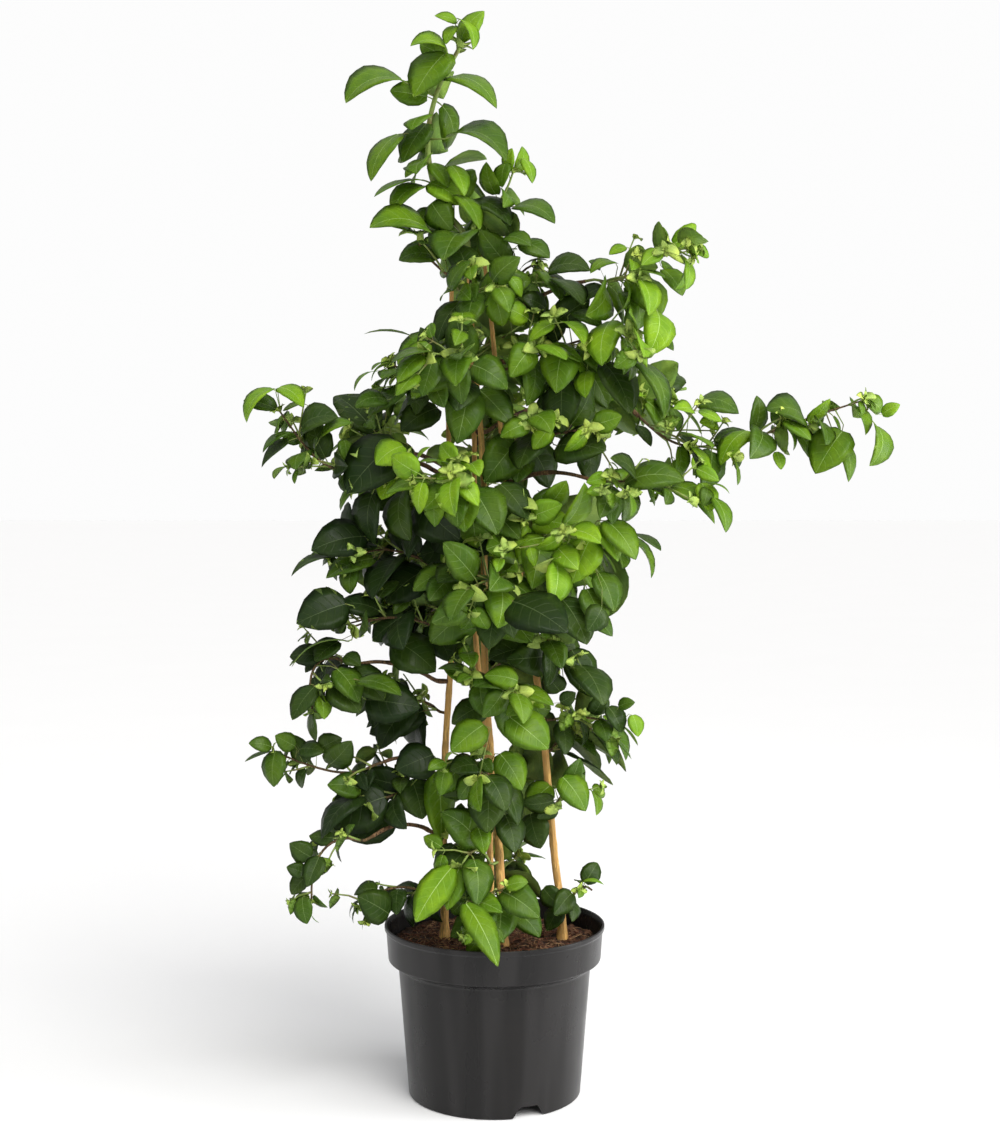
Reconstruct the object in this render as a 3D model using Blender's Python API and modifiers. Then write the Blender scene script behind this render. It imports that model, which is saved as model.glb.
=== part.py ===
"""A climbing hydrangea in its five-litre nursery pot, all sizes in metres.

+Z is up, the origin is the middle of the pot's underside, and -Y is the front. Four woody stems
rise from the compost and lean together. Boughs leave them, and every mass of foliage is one leafy
shoot with side twigs, which keeps to the space round its own stem.
"""

import math

import bmesh
import bpy
import numpy as np
from mathutils.bvhtree import BVHTree

# ---- the pot -------------------------------------------------------------------------------
POT_HEIGHT = 0.169
RIM_RADIUS = 0.110
LIP_DEPTH = 0.004
COLLAR_RADIUS = 0.1082
COLLAR_DEPTH = 0.034
COLLAR_FOOT_RADIUS = 0.1062
SHOULDER_DEPTH = 0.040
BODY_TOP_RADIUS = 0.0962
BASE_RADIUS = 0.0860
WALL = 0.0020
FOOT_HEIGHT = 0.0140
FOOT_WIDTH = 0.0035
BOSS_RADIUS = 0.050
POT_SIDES = 36
NOTCH_WIDTH = 0.034
NOTCH_TOP_WIDTH = 0.018
NOTCH_HEIGHT = 0.0105
NOTCH_COUNT = 2
NOTCH_TURN = math.radians(23)

# ---- the compost ---------------------------------------------------------------------------
GAP = 0.0003
SOIL_TOP = 0.1530
SOIL_CORNER = 0.004

# ---- the crown -----------------------------------------------------------------------------
CROWN_AXIS = (-0.012, 0.0)
STEM_POINTS = 12
SHOOT_POINTS = 6
FLARE_HEIGHT = 0.016
FLARE_GAIN = 0.55
HELIX_TURNS = 1.3
LIMB_RESOLUTION = 1
SPINE_RADIUS = 0.0024
TWIG_RADIUS = 0.0020
TIP_SHARE = 0.62
LEAF_STEP = 0.025
FIRST_NODE = 0.016
SIDE_TWIG_ANGLE = math.radians(52)
ROOT_DEPTH = 0.0004
TIP_DEPTH = 0.0030
LEAF_GAIN = 1.15
LAST_LEAF = 0.70
LEAF_TRIES = 8
FIRST_SEED = 100
SHARED = 1.12
LEAF_THICKNESS = 0.026
CLEARANCE = 0.0011
LEAF_OUTLINE = ((0.38, 0.290), (0.70, 0.225))
LEAF_FOLD = 0.22
LEAF_MIDDLE = 0.44
SIDE_WEIGHT, FORWARD_WEIGHT, OUTWARD_WEIGHT = 0.80, 0.42, 0.30
PAIR_TURN = math.radians(70)
TRY_LOSS, TWIG_TAPER, TWIG_GAIN = 0.05, 0.35, 0.92
TWIG_LENGTHS = (0.62, 0.18)

GREENS = {
    "old": (0.030, 0.075, 0.022),
    "mid": (0.060, 0.150, 0.030),
    "young": (0.130, 0.290, 0.035),
}

# name: foot (x, y), top (x, y, z), radius at the foot and at the top, wander and its phase
STEMS = {
    "stem_centre": ((0.008, -0.022), (-0.026, -0.010, 0.835), 0.0055, 0.0027, 0.0050, 0.4),
    "stem_left": ((-0.050, 0.002), (-0.042, 0.002, 0.800), 0.0048, 0.0024, 0.0050, 2.1),
    "stem_right": ((0.068, 0.004), (-0.012, 0.006, 0.842), 0.0050, 0.0024, 0.0045, 3.9),
    "stem_back": ((-0.004, 0.046), (-0.027, 0.022, 0.780), 0.0046, 0.0024, 0.0050, 5.2),
}

# name: its stem, the height where it leaves, its tip, the rise of its arch, radii
BOUGHS = {
    "bough_upper_right": ("stem_right", 0.770, (0.088, -0.036, 0.803), 0.010, 0.0030, 0.0023),
    "bough_long_right": ("stem_right", 0.728, (0.142, -0.012, 0.674), 0.026, 0.0034, 0.0024),
    "bough_right": ("stem_right", 0.610, (0.092, -0.060, 0.612), 0.010, 0.0030, 0.0022),
    "bough_left_upper": ("stem_left", 0.620, (-0.128, -0.030, 0.626), 0.014, 0.0030, 0.0022),
    "bough_left_hanging": ("stem_left", 0.412, (-0.130, -0.042, 0.434), 0.012, 0.0028, 0.0021),
    "bough_left_long": ("stem_left", 0.330, (-0.108, -0.030, 0.336), 0.008, 0.0028, 0.0021),
    "bough_left_low": ("stem_left", 0.262, (-0.118, -0.058, 0.268), 0.014, 0.0026, 0.0021),
    "bough_back_left": ("stem_back", 0.610, (-0.098, 0.084, 0.640), 0.014, 0.0030, 0.0022),
    "bough_back_right": ("stem_back", 0.660, (0.072, 0.078, 0.690), 0.014, 0.0030, 0.0022),
}

# name: its limb, the height where it leaves (None at the limb's tip), the tip of its last leaf, how
# its stem bows, the reach of its own space, its pairs of side twigs, a real leaf's length with its
# stalk, and its green
MASSES = {
    "foliage_leader": ("stem_centre", None, (-0.036, -0.014, 1.084), (-0.046, 0, 0), 0.100, 0, 0.076, "young"),
    "foliage_top_right": ("stem_right", None, (0.034, -0.006, 0.950), (0.006, 0, 0), 0.085, 0, 0.058, "young"),
    "foliage_top_left": ("stem_left", None, (-0.098, -0.014, 0.888), (-0.015, 0, 0), 0.085, 1, 0.064, "mid"),
    "foliage_top_back": ("stem_back", None, (-0.022, 0.072, 0.905), (0, 0.02, 0), 0.085, 1, 0.062, "mid"),
    "foliage_neck_front": ("stem_centre", 0.785, (-0.022, -0.100, 0.835), (0, 0, 0.01), 0.085, 1, 0.062, "mid"),
    "foliage_neck_right": ("stem_right", 0.790, (0.074, -0.030, 0.846), (0, 0, 0.01), 0.085, 2, 0.062, "mid"),
    "foliage_neck_back": ("stem_back", 0.730, (-0.018, 0.110, 0.800), (0, 0, 0.01), 0.090, 2, 0.064, "mid"),
    "foliage_upper_right": ("bough_upper_right", None, (0.212, -0.060, 0.852), (0, 0, -0.012), 0.095, 2, 0.072, "young"),
    "foliage_mid_right": ("stem_right", 0.720, (0.172, -0.075, 0.765), (0, 0, 0.010), 0.100, 3, 0.080, "mid"),
    "foliage_long_right": ("bough_long_right", None, (0.402, -0.030, 0.692), (0, 0, -0.012), 0.080, 3, 0.064, "mid"),
    "foliage_right_inner": ("stem_right", 0.640, (0.138, -0.085, 0.668), (0, 0, 0.010), 0.095, 2, 0.076, "old"),
    "foliage_right": ("bough_right", None, (0.222, -0.090, 0.590), (0, 0, 0.008), 0.075, 2, 0.054, "mid"),
    "foliage_back_right": ("bough_back_right", None, (0.180, 0.140, 0.712), (0, 0, 0.010), 0.100, 3, 0.072, "mid"),
    "foliage_left_upper": ("bough_left_upper", None, (-0.240, -0.042, 0.700), (-0.008, 0, -0.004), 0.075, 2, 0.056, "mid"),
    "foliage_left_mid": ("stem_left", 0.690, (-0.136, -0.030, 0.748), (0, 0, 0.010), 0.095, 3, 0.066, "mid"),
    "foliage_back_left": ("bough_back_left", None, (-0.190, 0.140, 0.670), (0, 0, 0.010), 0.100, 3, 0.072, "mid"),
    "foliage_centre_upper": ("stem_centre", 0.700, (-0.040, -0.140, 0.742), (0, 0, 0.010), 0.100, 3, 0.076, "mid"),
    "foliage_centre_left": ("stem_left", 0.580, (-0.126, -0.122, 0.640), (0, 0, 0.010), 0.105, 3, 0.090, "old"),
    "foliage_centre_front": ("stem_centre", 0.590, (-0.050, -0.165, 0.622), (0, 0, 0.010), 0.100, 3, 0.070, "young"),
    "foliage_front_right": ("stem_right", 0.545, (0.116, -0.135, 0.560), (0, 0, 0.015), 0.105, 3, 0.080, "young"),
    "foliage_front_middle": ("stem_centre", 0.500, (0.016, -0.162, 0.520), (0, 0, 0.015), 0.100, 3, 0.080, "mid"),
    "foliage_left_middle": ("stem_left", 0.520, (-0.190, -0.050, 0.548), (0, 0, 0.020), 0.100, 3, 0.084, "old"),
    "foliage_left_lower": ("stem_left", 0.462, (-0.182, -0.086, 0.476), (0, 0, 0.015), 0.100, 3, 0.080, "old"),
    "foliage_right_lower": ("stem_right", 0.430, (0.118, -0.066, 0.450), (0, 0, 0.015), 0.095, 3, 0.076, "old"),
    "foliage_back_upper": ("stem_back", 0.640, (-0.006, 0.150, 0.700), (0, 0, 0.010), 0.100, 3, 0.074, "mid"),
    "foliage_back": ("stem_back", 0.500, (-0.016, 0.236, 0.540), (0, 0, 0.010), 0.100, 3, 0.070, "mid"),
    "foliage_back_left_lower": ("stem_left", 0.480, (-0.142, 0.108, 0.510), (0, 0, 0.015), 0.105, 3, 0.080, "old"),
    "foliage_back_right_lower": ("stem_right", 0.520, (0.136, 0.108, 0.560), (0, 0, 0.015), 0.100, 3, 0.078, "old"),
    "foliage_back_lower": ("stem_back", 0.400, (-0.020, 0.154, 0.440), (0, 0, 0.015), 0.100, 3, 0.076, "old"),
    "foliage_left_hanging": ("bough_left_hanging", None, (-0.196, -0.084, 0.372), (-0.02, 0, 0.020), 0.075, 1, 0.048, "old"),
    "foliage_left_long": ("bough_left_long", None, (-0.246, -0.048, 0.352), (0, 0, -0.010), 0.060, 2, 0.046, "mid"),
    "foliage_left_broad": ("stem_left", 0.300, (-0.166, -0.078, 0.292), (0, 0, 0.010), 0.090, 2, 0.082, "old"),
    "foliage_left_low": ("bough_left_low", None, (-0.194, -0.084, 0.192), (-0.02, 0, 0.020), 0.060, 1, 0.040, "mid"),
    "foliage_centre_lower": ("stem_centre", 0.400, (0.034, -0.130, 0.420), (0, 0, 0.010), 0.095, 3, 0.062, "young"),
    "foliage_front_low": ("stem_centre", 0.320, (-0.024, -0.128, 0.336), (0, 0, 0.010), 0.090, 3, 0.064, "mid"),
    "foliage_right_small": ("stem_right", 0.372, (0.152, -0.030, 0.372), (0, 0, 0.004), 0.065, 1, 0.044, "mid"),
    "foliage_right_low": ("stem_right", 0.290, (0.096, -0.070, 0.316), (0, 0, 0.010), 0.080, 2, 0.060, "mid"),
    "foliage_back_right_low": ("stem_right", 0.340, (0.106, 0.100, 0.370), (0, 0, 0.010), 0.090, 2, 0.066, "old"),
    "foliage_back_low": ("stem_back", 0.290, (-0.010, 0.138, 0.322), (0, 0, 0.010), 0.090, 2, 0.064, "mid"),
    "foliage_back_left_low": ("stem_left", 0.380, (-0.128, 0.084, 0.380), (0, 0, 0.010), 0.090, 2, 0.066, "old"),
    "foliage_front_foot": ("stem_centre", 0.235, (-0.060, -0.112, 0.250), (0, 0, 0.020), 0.080, 1, 0.072, "young"),
    "foliage_rim_front": ("stem_centre", 0.190, (-0.012, -0.138, 0.172), (0, 0, 0.040), 0.065, 1, 0.062, "young"),
    "foliage_rim_left": ("stem_left", 0.195, (-0.156, -0.070, 0.200), (0, 0, 0.020), 0.060, 1, 0.042, "mid"),
    "foliage_rim_right": ("stem_right", 0.192, (0.116, -0.040, 0.218), (0, 0, 0.012), 0.055, 1, 0.040, "mid"),
    "foliage_rim_back": ("stem_back", 0.200, (0.020, 0.130, 0.208), (0, 0, 0.015), 0.065, 1, 0.046, "mid"),
}


# ---- vectors -------------------------------------------------------------------------------
def unit(v):
    return v / np.linalg.norm(v)


def across(direction, hint):
    """The unit vector nearest to hint that is square to direction."""
    return unit(hint - np.dot(hint, direction) * direction)


def bezier(p0, p1, p2, p3, count):
    """A cubic curve: (1-t)^3 p0 + 3 t (1-t)^2 p1 + 3 t^2 (1-t) p2 + t^3 p3 at even steps of t."""
    t = np.linspace(0.0, 1.0, count)[:, None]
    return (1 - t) ** 3 * p0 + 3 * t * (1 - t) ** 2 * p1 + 3 * t**2 * (1 - t) * p2 + t**3 * p3


def tangents(path):
    """The unit direction of a path at each of its points."""
    steps = np.gradient(path, axis=0)
    return steps / np.linalg.norm(steps, axis=1)[:, None]


def outward(point):
    """The level direction from the crown's axis to a point."""
    away = np.array([point[0] - CROWN_AXIS[0], point[1] - CROWN_AXIS[1], 0.0])
    return unit(away + (0.0, -1e-6, 0.0))


# ---- objects -------------------------------------------------------------------------------
def clear_scene():
    for item in list(bpy.data.objects):
        bpy.data.objects.remove(item, do_unlink=True)
    for folder in list(bpy.data.collections):
        bpy.data.collections.remove(folder)


def new_collection(name):
    folder = bpy.data.collections.new(name)
    bpy.context.scene.collection.children.link(folder)
    return folder


def material(name, colour, roughness):
    finish = bpy.data.materials.new(name)
    finish.use_nodes = True
    shader = finish.node_tree.nodes["Principled BSDF"]
    shader.inputs["Base Color"].default_value = (*colour, 1.0)
    shader.inputs["Roughness"].default_value = roughness
    finish.diffuse_color = (*colour, 1.0)
    return finish


def mesh_object(name, vertices, faces, folder):
    mesh = bpy.data.meshes.new(name)
    mesh.from_pydata([tuple(v) for v in vertices], [], faces)
    item = bpy.data.objects.new(name, mesh)
    folder.objects.link(item)
    return item


def evaluated_mesh(item):
    bpy.context.view_layer.update()
    return bpy.data.meshes.new_from_object(item.evaluated_get(bpy.context.evaluated_depsgraph_get()))


def search_tree(mesh):
    """A tree of a mesh's faces, which finds what crosses them."""
    return BVHTree.FromPolygons([v.co for v in mesh.vertices], [tuple(f.vertices) for f in mesh.polygons])


# ---- pot and compost -----------------------------------------------------------------------
def turned(name, profile, folder):
    """A profile of (radius, height) points, from the axis to the axis, turned about +Z."""
    item = mesh_object(name, [(r, 0.0, z) for r, z in profile], [], folder)
    bm = bmesh.new()
    bm.from_mesh(item.data)
    bm.verts.ensure_lookup_table()
    for first, second in zip(bm.verts[:-1], bm.verts[1:]):
        bm.edges.new((first, second))
    bm.to_mesh(item.data)
    bm.free()
    screw = item.modifiers.new("turn", "SCREW")
    screw.axis = "Z"
    screw.steps = POT_SIDES
    screw.render_steps = POT_SIDES
    screw.use_merge_vertices = True
    screw.merge_threshold = 0.00001
    return item


def wall_radius(z):
    """The outer radius of the pot's body at a height, on its straight taper."""
    share = z / (POT_HEIGHT - SHOULDER_DEPTH)
    return BASE_RADIUS + share * (BODY_TOP_RADIUS - BASE_RADIUS)


def inner_profile(offset):
    """The inside of the wall from the floor to the rim, moved inwards by offset."""
    floor = FOOT_HEIGHT + WALL
    shoulder = POT_HEIGHT - SHOULDER_DEPTH
    collar = POT_HEIGHT - COLLAR_DEPTH
    return [
        (wall_radius(floor) - WALL - offset, floor + offset),
        (BODY_TOP_RADIUS - WALL - offset, shoulder),
        (COLLAR_FOOT_RADIUS - WALL - offset, collar + WALL),
        (COLLAR_RADIUS - WALL - offset, POT_HEIGHT - LIP_DEPTH),
        (RIM_RADIUS - WALL - offset, POT_HEIGHT),
    ]


def make_pot(folder, cutters):
    """A thin turned shell with a collar, a foot ring, a sunk channel and two notches."""
    inner = inner_profile(0.0)
    foot_inner = BASE_RADIUS - FOOT_WIDTH
    boss_top = WALL
    profile = [
        (0.0, boss_top),
        (BOSS_RADIUS - WALL, boss_top),
        (BOSS_RADIUS + WALL, FOOT_HEIGHT + WALL),
        *inner,
        (RIM_RADIUS, POT_HEIGHT),
        (RIM_RADIUS, POT_HEIGHT - LIP_DEPTH),
        (COLLAR_RADIUS, POT_HEIGHT - LIP_DEPTH - WALL),
        (COLLAR_FOOT_RADIUS, POT_HEIGHT - COLLAR_DEPTH),
        (BODY_TOP_RADIUS, POT_HEIGHT - SHOULDER_DEPTH),
        (BASE_RADIUS, 0.0),
        (foot_inner, 0.0),
        (foot_inner, FOOT_HEIGHT),
        (BOSS_RADIUS + 2 * WALL, FOOT_HEIGHT),
        (BOSS_RADIUS, 0.0),
        (0.0, 0.0),
    ]
    pot = turned("pot", profile, folder)
    for index in range(NOTCH_COUNT):
        notch = make_notch(index, cutters)
        cut = pot.modifiers.new("foot notch", "BOOLEAN")
        cut.operation = "DIFFERENCE"
        cut.solver = "EXACT"
        cut.object = notch
    return pot


def make_notch(index, cutters):
    """A wedge that narrows upwards, set across the foot ring, and NOTCH_WIDTH wide at the foot."""
    bm = bmesh.new()
    bmesh.ops.create_cube(bm, size=1.0)
    depth = 4 * FOOT_WIDTH
    lowest_width = 2 * NOTCH_WIDTH - NOTCH_TOP_WIDTH
    for vertex in bm.verts:
        top = vertex.co.z > 0
        width = NOTCH_TOP_WIDTH if top else lowest_width
        vertex.co.x *= width
        vertex.co.y = vertex.co.y * depth - BASE_RADIUS + depth / 8
        vertex.co.z = NOTCH_HEIGHT if top else -NOTCH_HEIGHT
    mesh = bpy.data.meshes.new(f"notch_{index}")
    bm.to_mesh(mesh)
    bm.free()
    notch = bpy.data.objects.new(f"notch_{index}", mesh)
    notch.rotation_euler.z = NOTCH_TURN + index * math.tau / NOTCH_COUNT
    notch.hide_render = True
    notch.display_type = "WIRE"
    cutters.objects.link(notch)
    return notch


def make_soil(folder):
    """The compost fills the pot, a gap clear of its wall and floor, under a flat top."""
    collar = COLLAR_FOOT_RADIUS - WALL - GAP
    floor = FOOT_HEIGHT + WALL + GAP
    profile = [
        (0.0, SOIL_TOP),
        (collar - SOIL_CORNER, SOIL_TOP),
        (collar, SOIL_TOP - SOIL_CORNER),
        *reversed(inner_profile(GAP)[:3]),
        (BOSS_RADIUS + WALL - 2 * GAP, floor),
        (BOSS_RADIUS - WALL - 2 * GAP, WALL + GAP),
        (0.0, WALL + GAP),
    ]
    return turned("soil", profile, folder)


# ---- stems and boughs ----------------------------------------------------------------------
def tube(name, path, radii, folder):
    """A round limb: a path with its own radius at every point."""
    curve = bpy.data.curves.new(name, "CURVE")
    curve.dimensions = "3D"
    curve.bevel_depth = 1.0
    curve.bevel_resolution = LIMB_RESOLUTION
    curve.use_fill_caps = True
    spline = curve.splines.new("POLY")
    spline.points.add(len(path) - 1)
    spline.points.foreach_set("co", np.column_stack([path, np.ones(len(path))]).ravel())
    spline.points.foreach_set("radius", np.asarray(radii, dtype=float))
    item = bpy.data.objects.new(name, curve)
    folder.objects.link(item)
    return item


def stem_path(foot, top, wander, phase):
    """From a flat foot up the line to its top, with a slow helix that dies out at both ends."""
    start = np.array([*foot, SOIL_TOP + GAP])
    t = np.linspace(0.0, 1.0, STEM_POINTS)[:, None]
    line = start + (0, 0, FLARE_HEIGHT) + t * (np.array(top) - start - (0, 0, FLARE_HEIGHT))
    turn = phase + HELIX_TURNS * math.tau * t
    helix = wander * np.sin(math.pi * t) * np.hstack([np.cos(turn), np.sin(turn), 0 * t])
    return np.vstack([start, line + helix])


def stem_radii(path, foot_radius, top_radius):
    """An even taper with the root flare on the lowest point."""
    share = (path[:, 2] - path[0, 2]) / (path[-1, 2] - path[0, 2])
    radii = foot_radius + share * (top_radius - foot_radius)
    radii[0] *= 1 + FLARE_GAIN
    return radii


def place_on(limb, height):
    """The point, direction and radius of a limb at a height, or at its tip."""
    path, radii = limb
    if height is None:
        return path[-1], unit(path[-1] - path[-2]), radii[-1]
    after = int(np.searchsorted(path[:, 2], height))
    share = (height - path[after - 1, 2]) / (path[after, 2] - path[after - 1, 2])
    point = path[after - 1] + share * (path[after] - path[after - 1])
    radius = radii[after - 1] + share * (radii[after] - radii[after - 1])
    return point, unit(path[after] - path[after - 1]), radius


def leave_limb(limb, height, tip):
    """Where a shoot starts, a gap clear of its limb, and the direction it sets out in."""
    point, direction, radius = place_on(limb, height)
    if height is None:
        return point + GAP * direction, direction
    heading = across(direction, np.array([tip[0] - point[0], tip[1] - point[1], 0.0]))
    return point + (radius + GAP) * heading, heading


def shoot_path(limb, height, tip, bow, count):
    """A curve that sets out square from its limb and bends by bow on its way to the tip."""
    tip = np.array(tip)
    start, heading = leave_limb(limb, height, tip)
    straight = start + FIRST_NODE / 2 * heading
    span = np.linalg.norm(tip - straight)
    second = straight + 0.3 * span * heading + np.array(bow)
    third = tip + 0.35 * (straight - tip) + np.array(bow)
    return np.vstack([start, bezier(straight, second, third, tip, count)])


def spine_path(limbs, limb, height, tip, bow, leaf):
    """The stem of a leafy shoot, which stops one last leaf short of the shoot's tip."""
    start = leave_limb(limbs[limb], height, tip)[0]
    end = np.array(tip) - LAST_LEAF * leaf * unit(np.array(tip) - start)
    return shoot_path(limbs[limb], height, end, bow, SHOOT_POINTS)


# ---- foliage -------------------------------------------------------------------------------
def three_sided(name, path, radii, folder):
    """A tapering three-sided twig, closed at both ends: three corners round each path point."""
    along = tangents(path)
    side = across(along[0], np.array([0.31, 0.23, 0.92]))
    corners = []
    for point, direction, radius in zip(path, along, radii):
        side = across(direction, side)
        other = np.cross(direction, side)
        for turn in np.arange(3) * math.tau / 3:
            corners.append(point + radius * (math.cos(turn) * side + math.sin(turn) * other))
    last = 3 * (len(path) - 1)
    faces = [(2, 1, 0), (last, last + 1, last + 2)]
    for ring in range(0, last, 3):
        for k in range(3):
            after = (k + 1) % 3
            faces.append((ring + k, ring + after, ring + 3 + after, ring + 3 + k))
    return mesh_object(name, corners, faces, folder)


def leaf_points(root, along, normal, length, bend, thickness):
    """A pointed blade bent down along a circular arc: its root, edge points, tip and two middles.

    At share u of the length a point lies length * sin(bend u) / bend along the leaf and
    length * (1 - cos(bend u)) / bend below it.
    """
    width = np.cross(normal, along)

    def at(u):
        return root + length / bend * (math.sin(bend * u) * along - (1 - math.cos(bend * u)) * normal)

    def edge(k, sign):
        u, half = LEAF_OUTLINE[k]
        return at(u) + sign * half * length * width + LEAF_FOLD * half * length * normal

    middle = at(LEAF_MIDDLE)
    return np.array([
        root, edge(0, -1), edge(1, -1), at(1.0), edge(1, 1), edge(0, 1),
        middle + thickness / 2 * normal, middle - thickness / 2 * normal,
    ])


LEAF_FACES = [(6, k, (k + 1) % 6) for k in range(6)] + [(7, (k + 1) % 6, k) for k in range(6)]


class Crown:
    """What has been grown so far, so that nothing new crosses it or leaves its own space."""

    def __init__(self, obstacles, spines):
        self.trees = [(None, tree) for tree in obstacles]
        self.spines = spines
        self.reach = {name: MASSES[name][4] for name in spines}

    def in_own_space(self, name, points):
        """True where all points are within reach of their own stem, and their middle nearest it."""
        far = {
            other: np.linalg.norm(points[:, None] - path[None], axis=2).min(1) / self.reach[other]
            for other, path in self.spines.items()
        }
        own = far.pop(name)
        return bool(own.max() <= 1.0 and own.mean() <= SHARED * min(v.mean() for v in far.values()))

    def is_clear(self, tree, skip):
        return not any(owner not in skip and known.overlap(tree) for owner, known in self.trees)

    def above_pot(self, points):
        """True where no point comes down on the compost, the rim or the pot's wall."""
        radial = np.hypot(points[:, 0], points[:, 1])
        over = radial < RIM_RADIUS + 0.003
        return bool((points[over, 2] > POT_HEIGHT + 0.003).all()) or bool(
            (points[:, 2] > SOIL_TOP + 0.004).all() and (radial < RIM_RADIUS - 0.012).all()
        )


def leaf_tree(points, grow):
    """The search tree of a leaf made thicker and a little larger, so that it finds near things."""
    fat = points.copy()
    middle = points[6:].mean(0)
    fat[:6] += grow * (points[:6] - middle) / np.linalg.norm(points[:6] - middle, axis=1)[:, None]
    normal = unit(points[6] - points[7])
    fat[6] += grow * normal
    fat[7] -= grow * normal
    return BVHTree.FromPolygons([tuple(p) for p in fat], LEAF_FACES)


def leaf_pose(point, direction, side, rng):
    """A leaf sets out to its side and forwards, leans outwards and droops, and faces the light."""
    out = outward(point)
    heading = SIDE_WEIGHT * side + FORWARD_WEIGHT * direction + OUTWARD_WEIGHT * out
    along = unit(heading + (0, 0, rng.uniform(-0.55, -0.10)))
    light = np.array([0, -0.15, 0.50]) + 0.60 * out + rng.uniform(-0.55, 0.55, 3)
    return along, across(along, light)


def try_leaf(crown, name, holders, point, direction, side, length, rng, folder):
    """Hangs one leaf, turned a few times until it clears all but its holders, or leaves it out."""
    for turn in range(LEAF_TRIES):
        along, normal = leaf_pose(point, direction, side, rng)
        size = length * (1.0 - TRY_LOSS * turn)
        root = point - ROOT_DEPTH * along
        points = leaf_points(root, along, normal, size, rng.uniform(0.5, 1.0), LEAF_THICKNESS * size)
        if not crown.in_own_space(name, points[1:]) or not crown.above_pot(points[1:]):
            continue
        tree = leaf_tree(points, CLEARANCE)
        if crown.is_clear(tree, holders):
            key = f"{name}_leaf_{len(crown.trees)}"
            crown.trees.append((key, tree))
            mesh_object(key, points, LEAF_FACES, folder)
            return {key}
    return set()


def node_points(path, first, step):
    """Points along a path, evenly spaced from the first one, with its direction at each."""
    run = np.concatenate([[0.0], np.cumsum(np.linalg.norm(np.diff(path, axis=0), axis=1))])
    along = tangents(path)
    for place in np.arange(first, run[-1] - 0.3 * step, step):
        point = np.array([np.interp(place, run, path[:, k]) for k in range(3)])
        direction = unit(np.array([np.interp(place, run, along[:, k]) for k in range(3)]))
        yield place / run[-1], point, direction


def pair_sides(direction, turn):
    """The two opposite sides of a node, in a plane turned about the twig."""
    level = across(direction, np.cross(direction, (0.0, 0.0, 1.0)) + (1e-6, 0, 0))
    up = np.cross(level, direction)
    side = math.cos(turn) * level + math.sin(turn) * up
    return side, -side


def leafy_twig(crown, name, twig, path, first, length, rng, folder, skip_nodes=()):
    """Pairs of leaves along a twig, each pair turned from the last by PAIR_TURN, and one at its tip."""
    for index, (share, point, direction) in enumerate(node_points(path, first, LEAF_STEP)):
        if index in skip_nodes:
            continue
        turn = (index % 2) * PAIR_TURN + rng.uniform(-0.35, 0.35)
        holders = {twig}
        for side in pair_sides(direction, turn):
            size = length * (1.0 - TWIG_TAPER * share**2) * rng.uniform(0.88, 1.12)
            holders |= try_leaf(crown, name, holders, point, direction, side, size, rng, folder)
    end = unit(path[-1] - path[-2])
    tip = path[-1] - TIP_DEPTH * end
    try_leaf(crown, name, {twig}, tip, end, 0.6 * end, LAST_LEAF * length, rng, folder)


def side_twig(crown, name, point, direction, side, length, rng, folder):
    """One straight twig that leaves the stem at an angle, if it has room."""
    key = f"{name}_twig_{len(crown.trees)}"
    heading = math.cos(SIDE_TWIG_ANGLE) * direction + math.sin(SIDE_TWIG_ANGLE) * side
    tip = point + length * unit(heading + 0.25 * outward(point) + (0, 0, rng.uniform(-0.25, 0.10)))
    path = np.array([point, tip])
    radii = np.linspace(TWIG_RADIUS, TWIG_RADIUS * TIP_SHARE, len(path))
    if not crown.in_own_space(name, path[1:]) or not crown.above_pot(path[1:]):
        return None
    fat = three_sided("probe", path, radii + CLEARANCE, folder)
    tree = search_tree(fat.data)
    bpy.data.objects.remove(fat)
    if not crown.is_clear(tree, {f"{name}_spine"}):
        return None
    crown.trees.append((key, tree))
    three_sided(key, path, radii, folder)
    return key, path


def join_parts(body, folder):
    """One Boolean union of a stem with its twigs and leaves, whose own objects then go."""
    union = body.modifiers.new("join", "BOOLEAN")
    union.operation = "UNION"
    union.operand_type = "COLLECTION"
    union.collection = folder
    union.solver = "EXACT"
    joined = evaluated_mesh(body)
    body.modifiers.clear()
    body.data = joined
    for item in list(folder.objects):
        bpy.data.objects.remove(item)
    bpy.data.collections.remove(folder)


def make_mass(crown, name, seed, spine, shown):
    """One leafy shoot: its stem, side twigs in pairs, and leaves in pairs along all of them."""
    twig_pairs, length = MASSES[name][5], MASSES[name][6] * LEAF_GAIN
    reach = crown.reach[name]
    rng = np.random.default_rng(seed)
    folder = new_collection(f"{name}_leaves")
    radii = np.linspace(SPINE_RADIUS, SPINE_RADIUS * TIP_SHARE, len(spine))
    body = three_sided(name, spine, radii, shown)
    nodes = list(node_points(spine, FIRST_NODE, LEAF_STEP))
    twig_nodes = [2 * k for k in range(twig_pairs) if 2 * k < len(nodes)]
    twigs = []
    for k in twig_nodes:
        share, point, direction = nodes[k]
        for side in pair_sides(direction, rng.uniform(-0.5, 0.5)):
            size = reach * (TWIG_LENGTHS[0] - TWIG_LENGTHS[1] * share) * rng.uniform(0.8, 1.1)
            twigs.append(side_twig(crown, name, point, direction, side, size, rng, folder))
    leafy_twig(crown, name, f"{name}_spine", spine, FIRST_NODE, length, rng, folder, twig_nodes)
    for twig in filter(None, twigs):
        leafy_twig(crown, name, twig[0], twig[1], 0.55 * LEAF_STEP, TWIG_GAIN * length, rng, folder)
    count = sum("_leaf_" in item.name for item in folder.objects)
    join_parts(body, folder)
    return body, count


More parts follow.
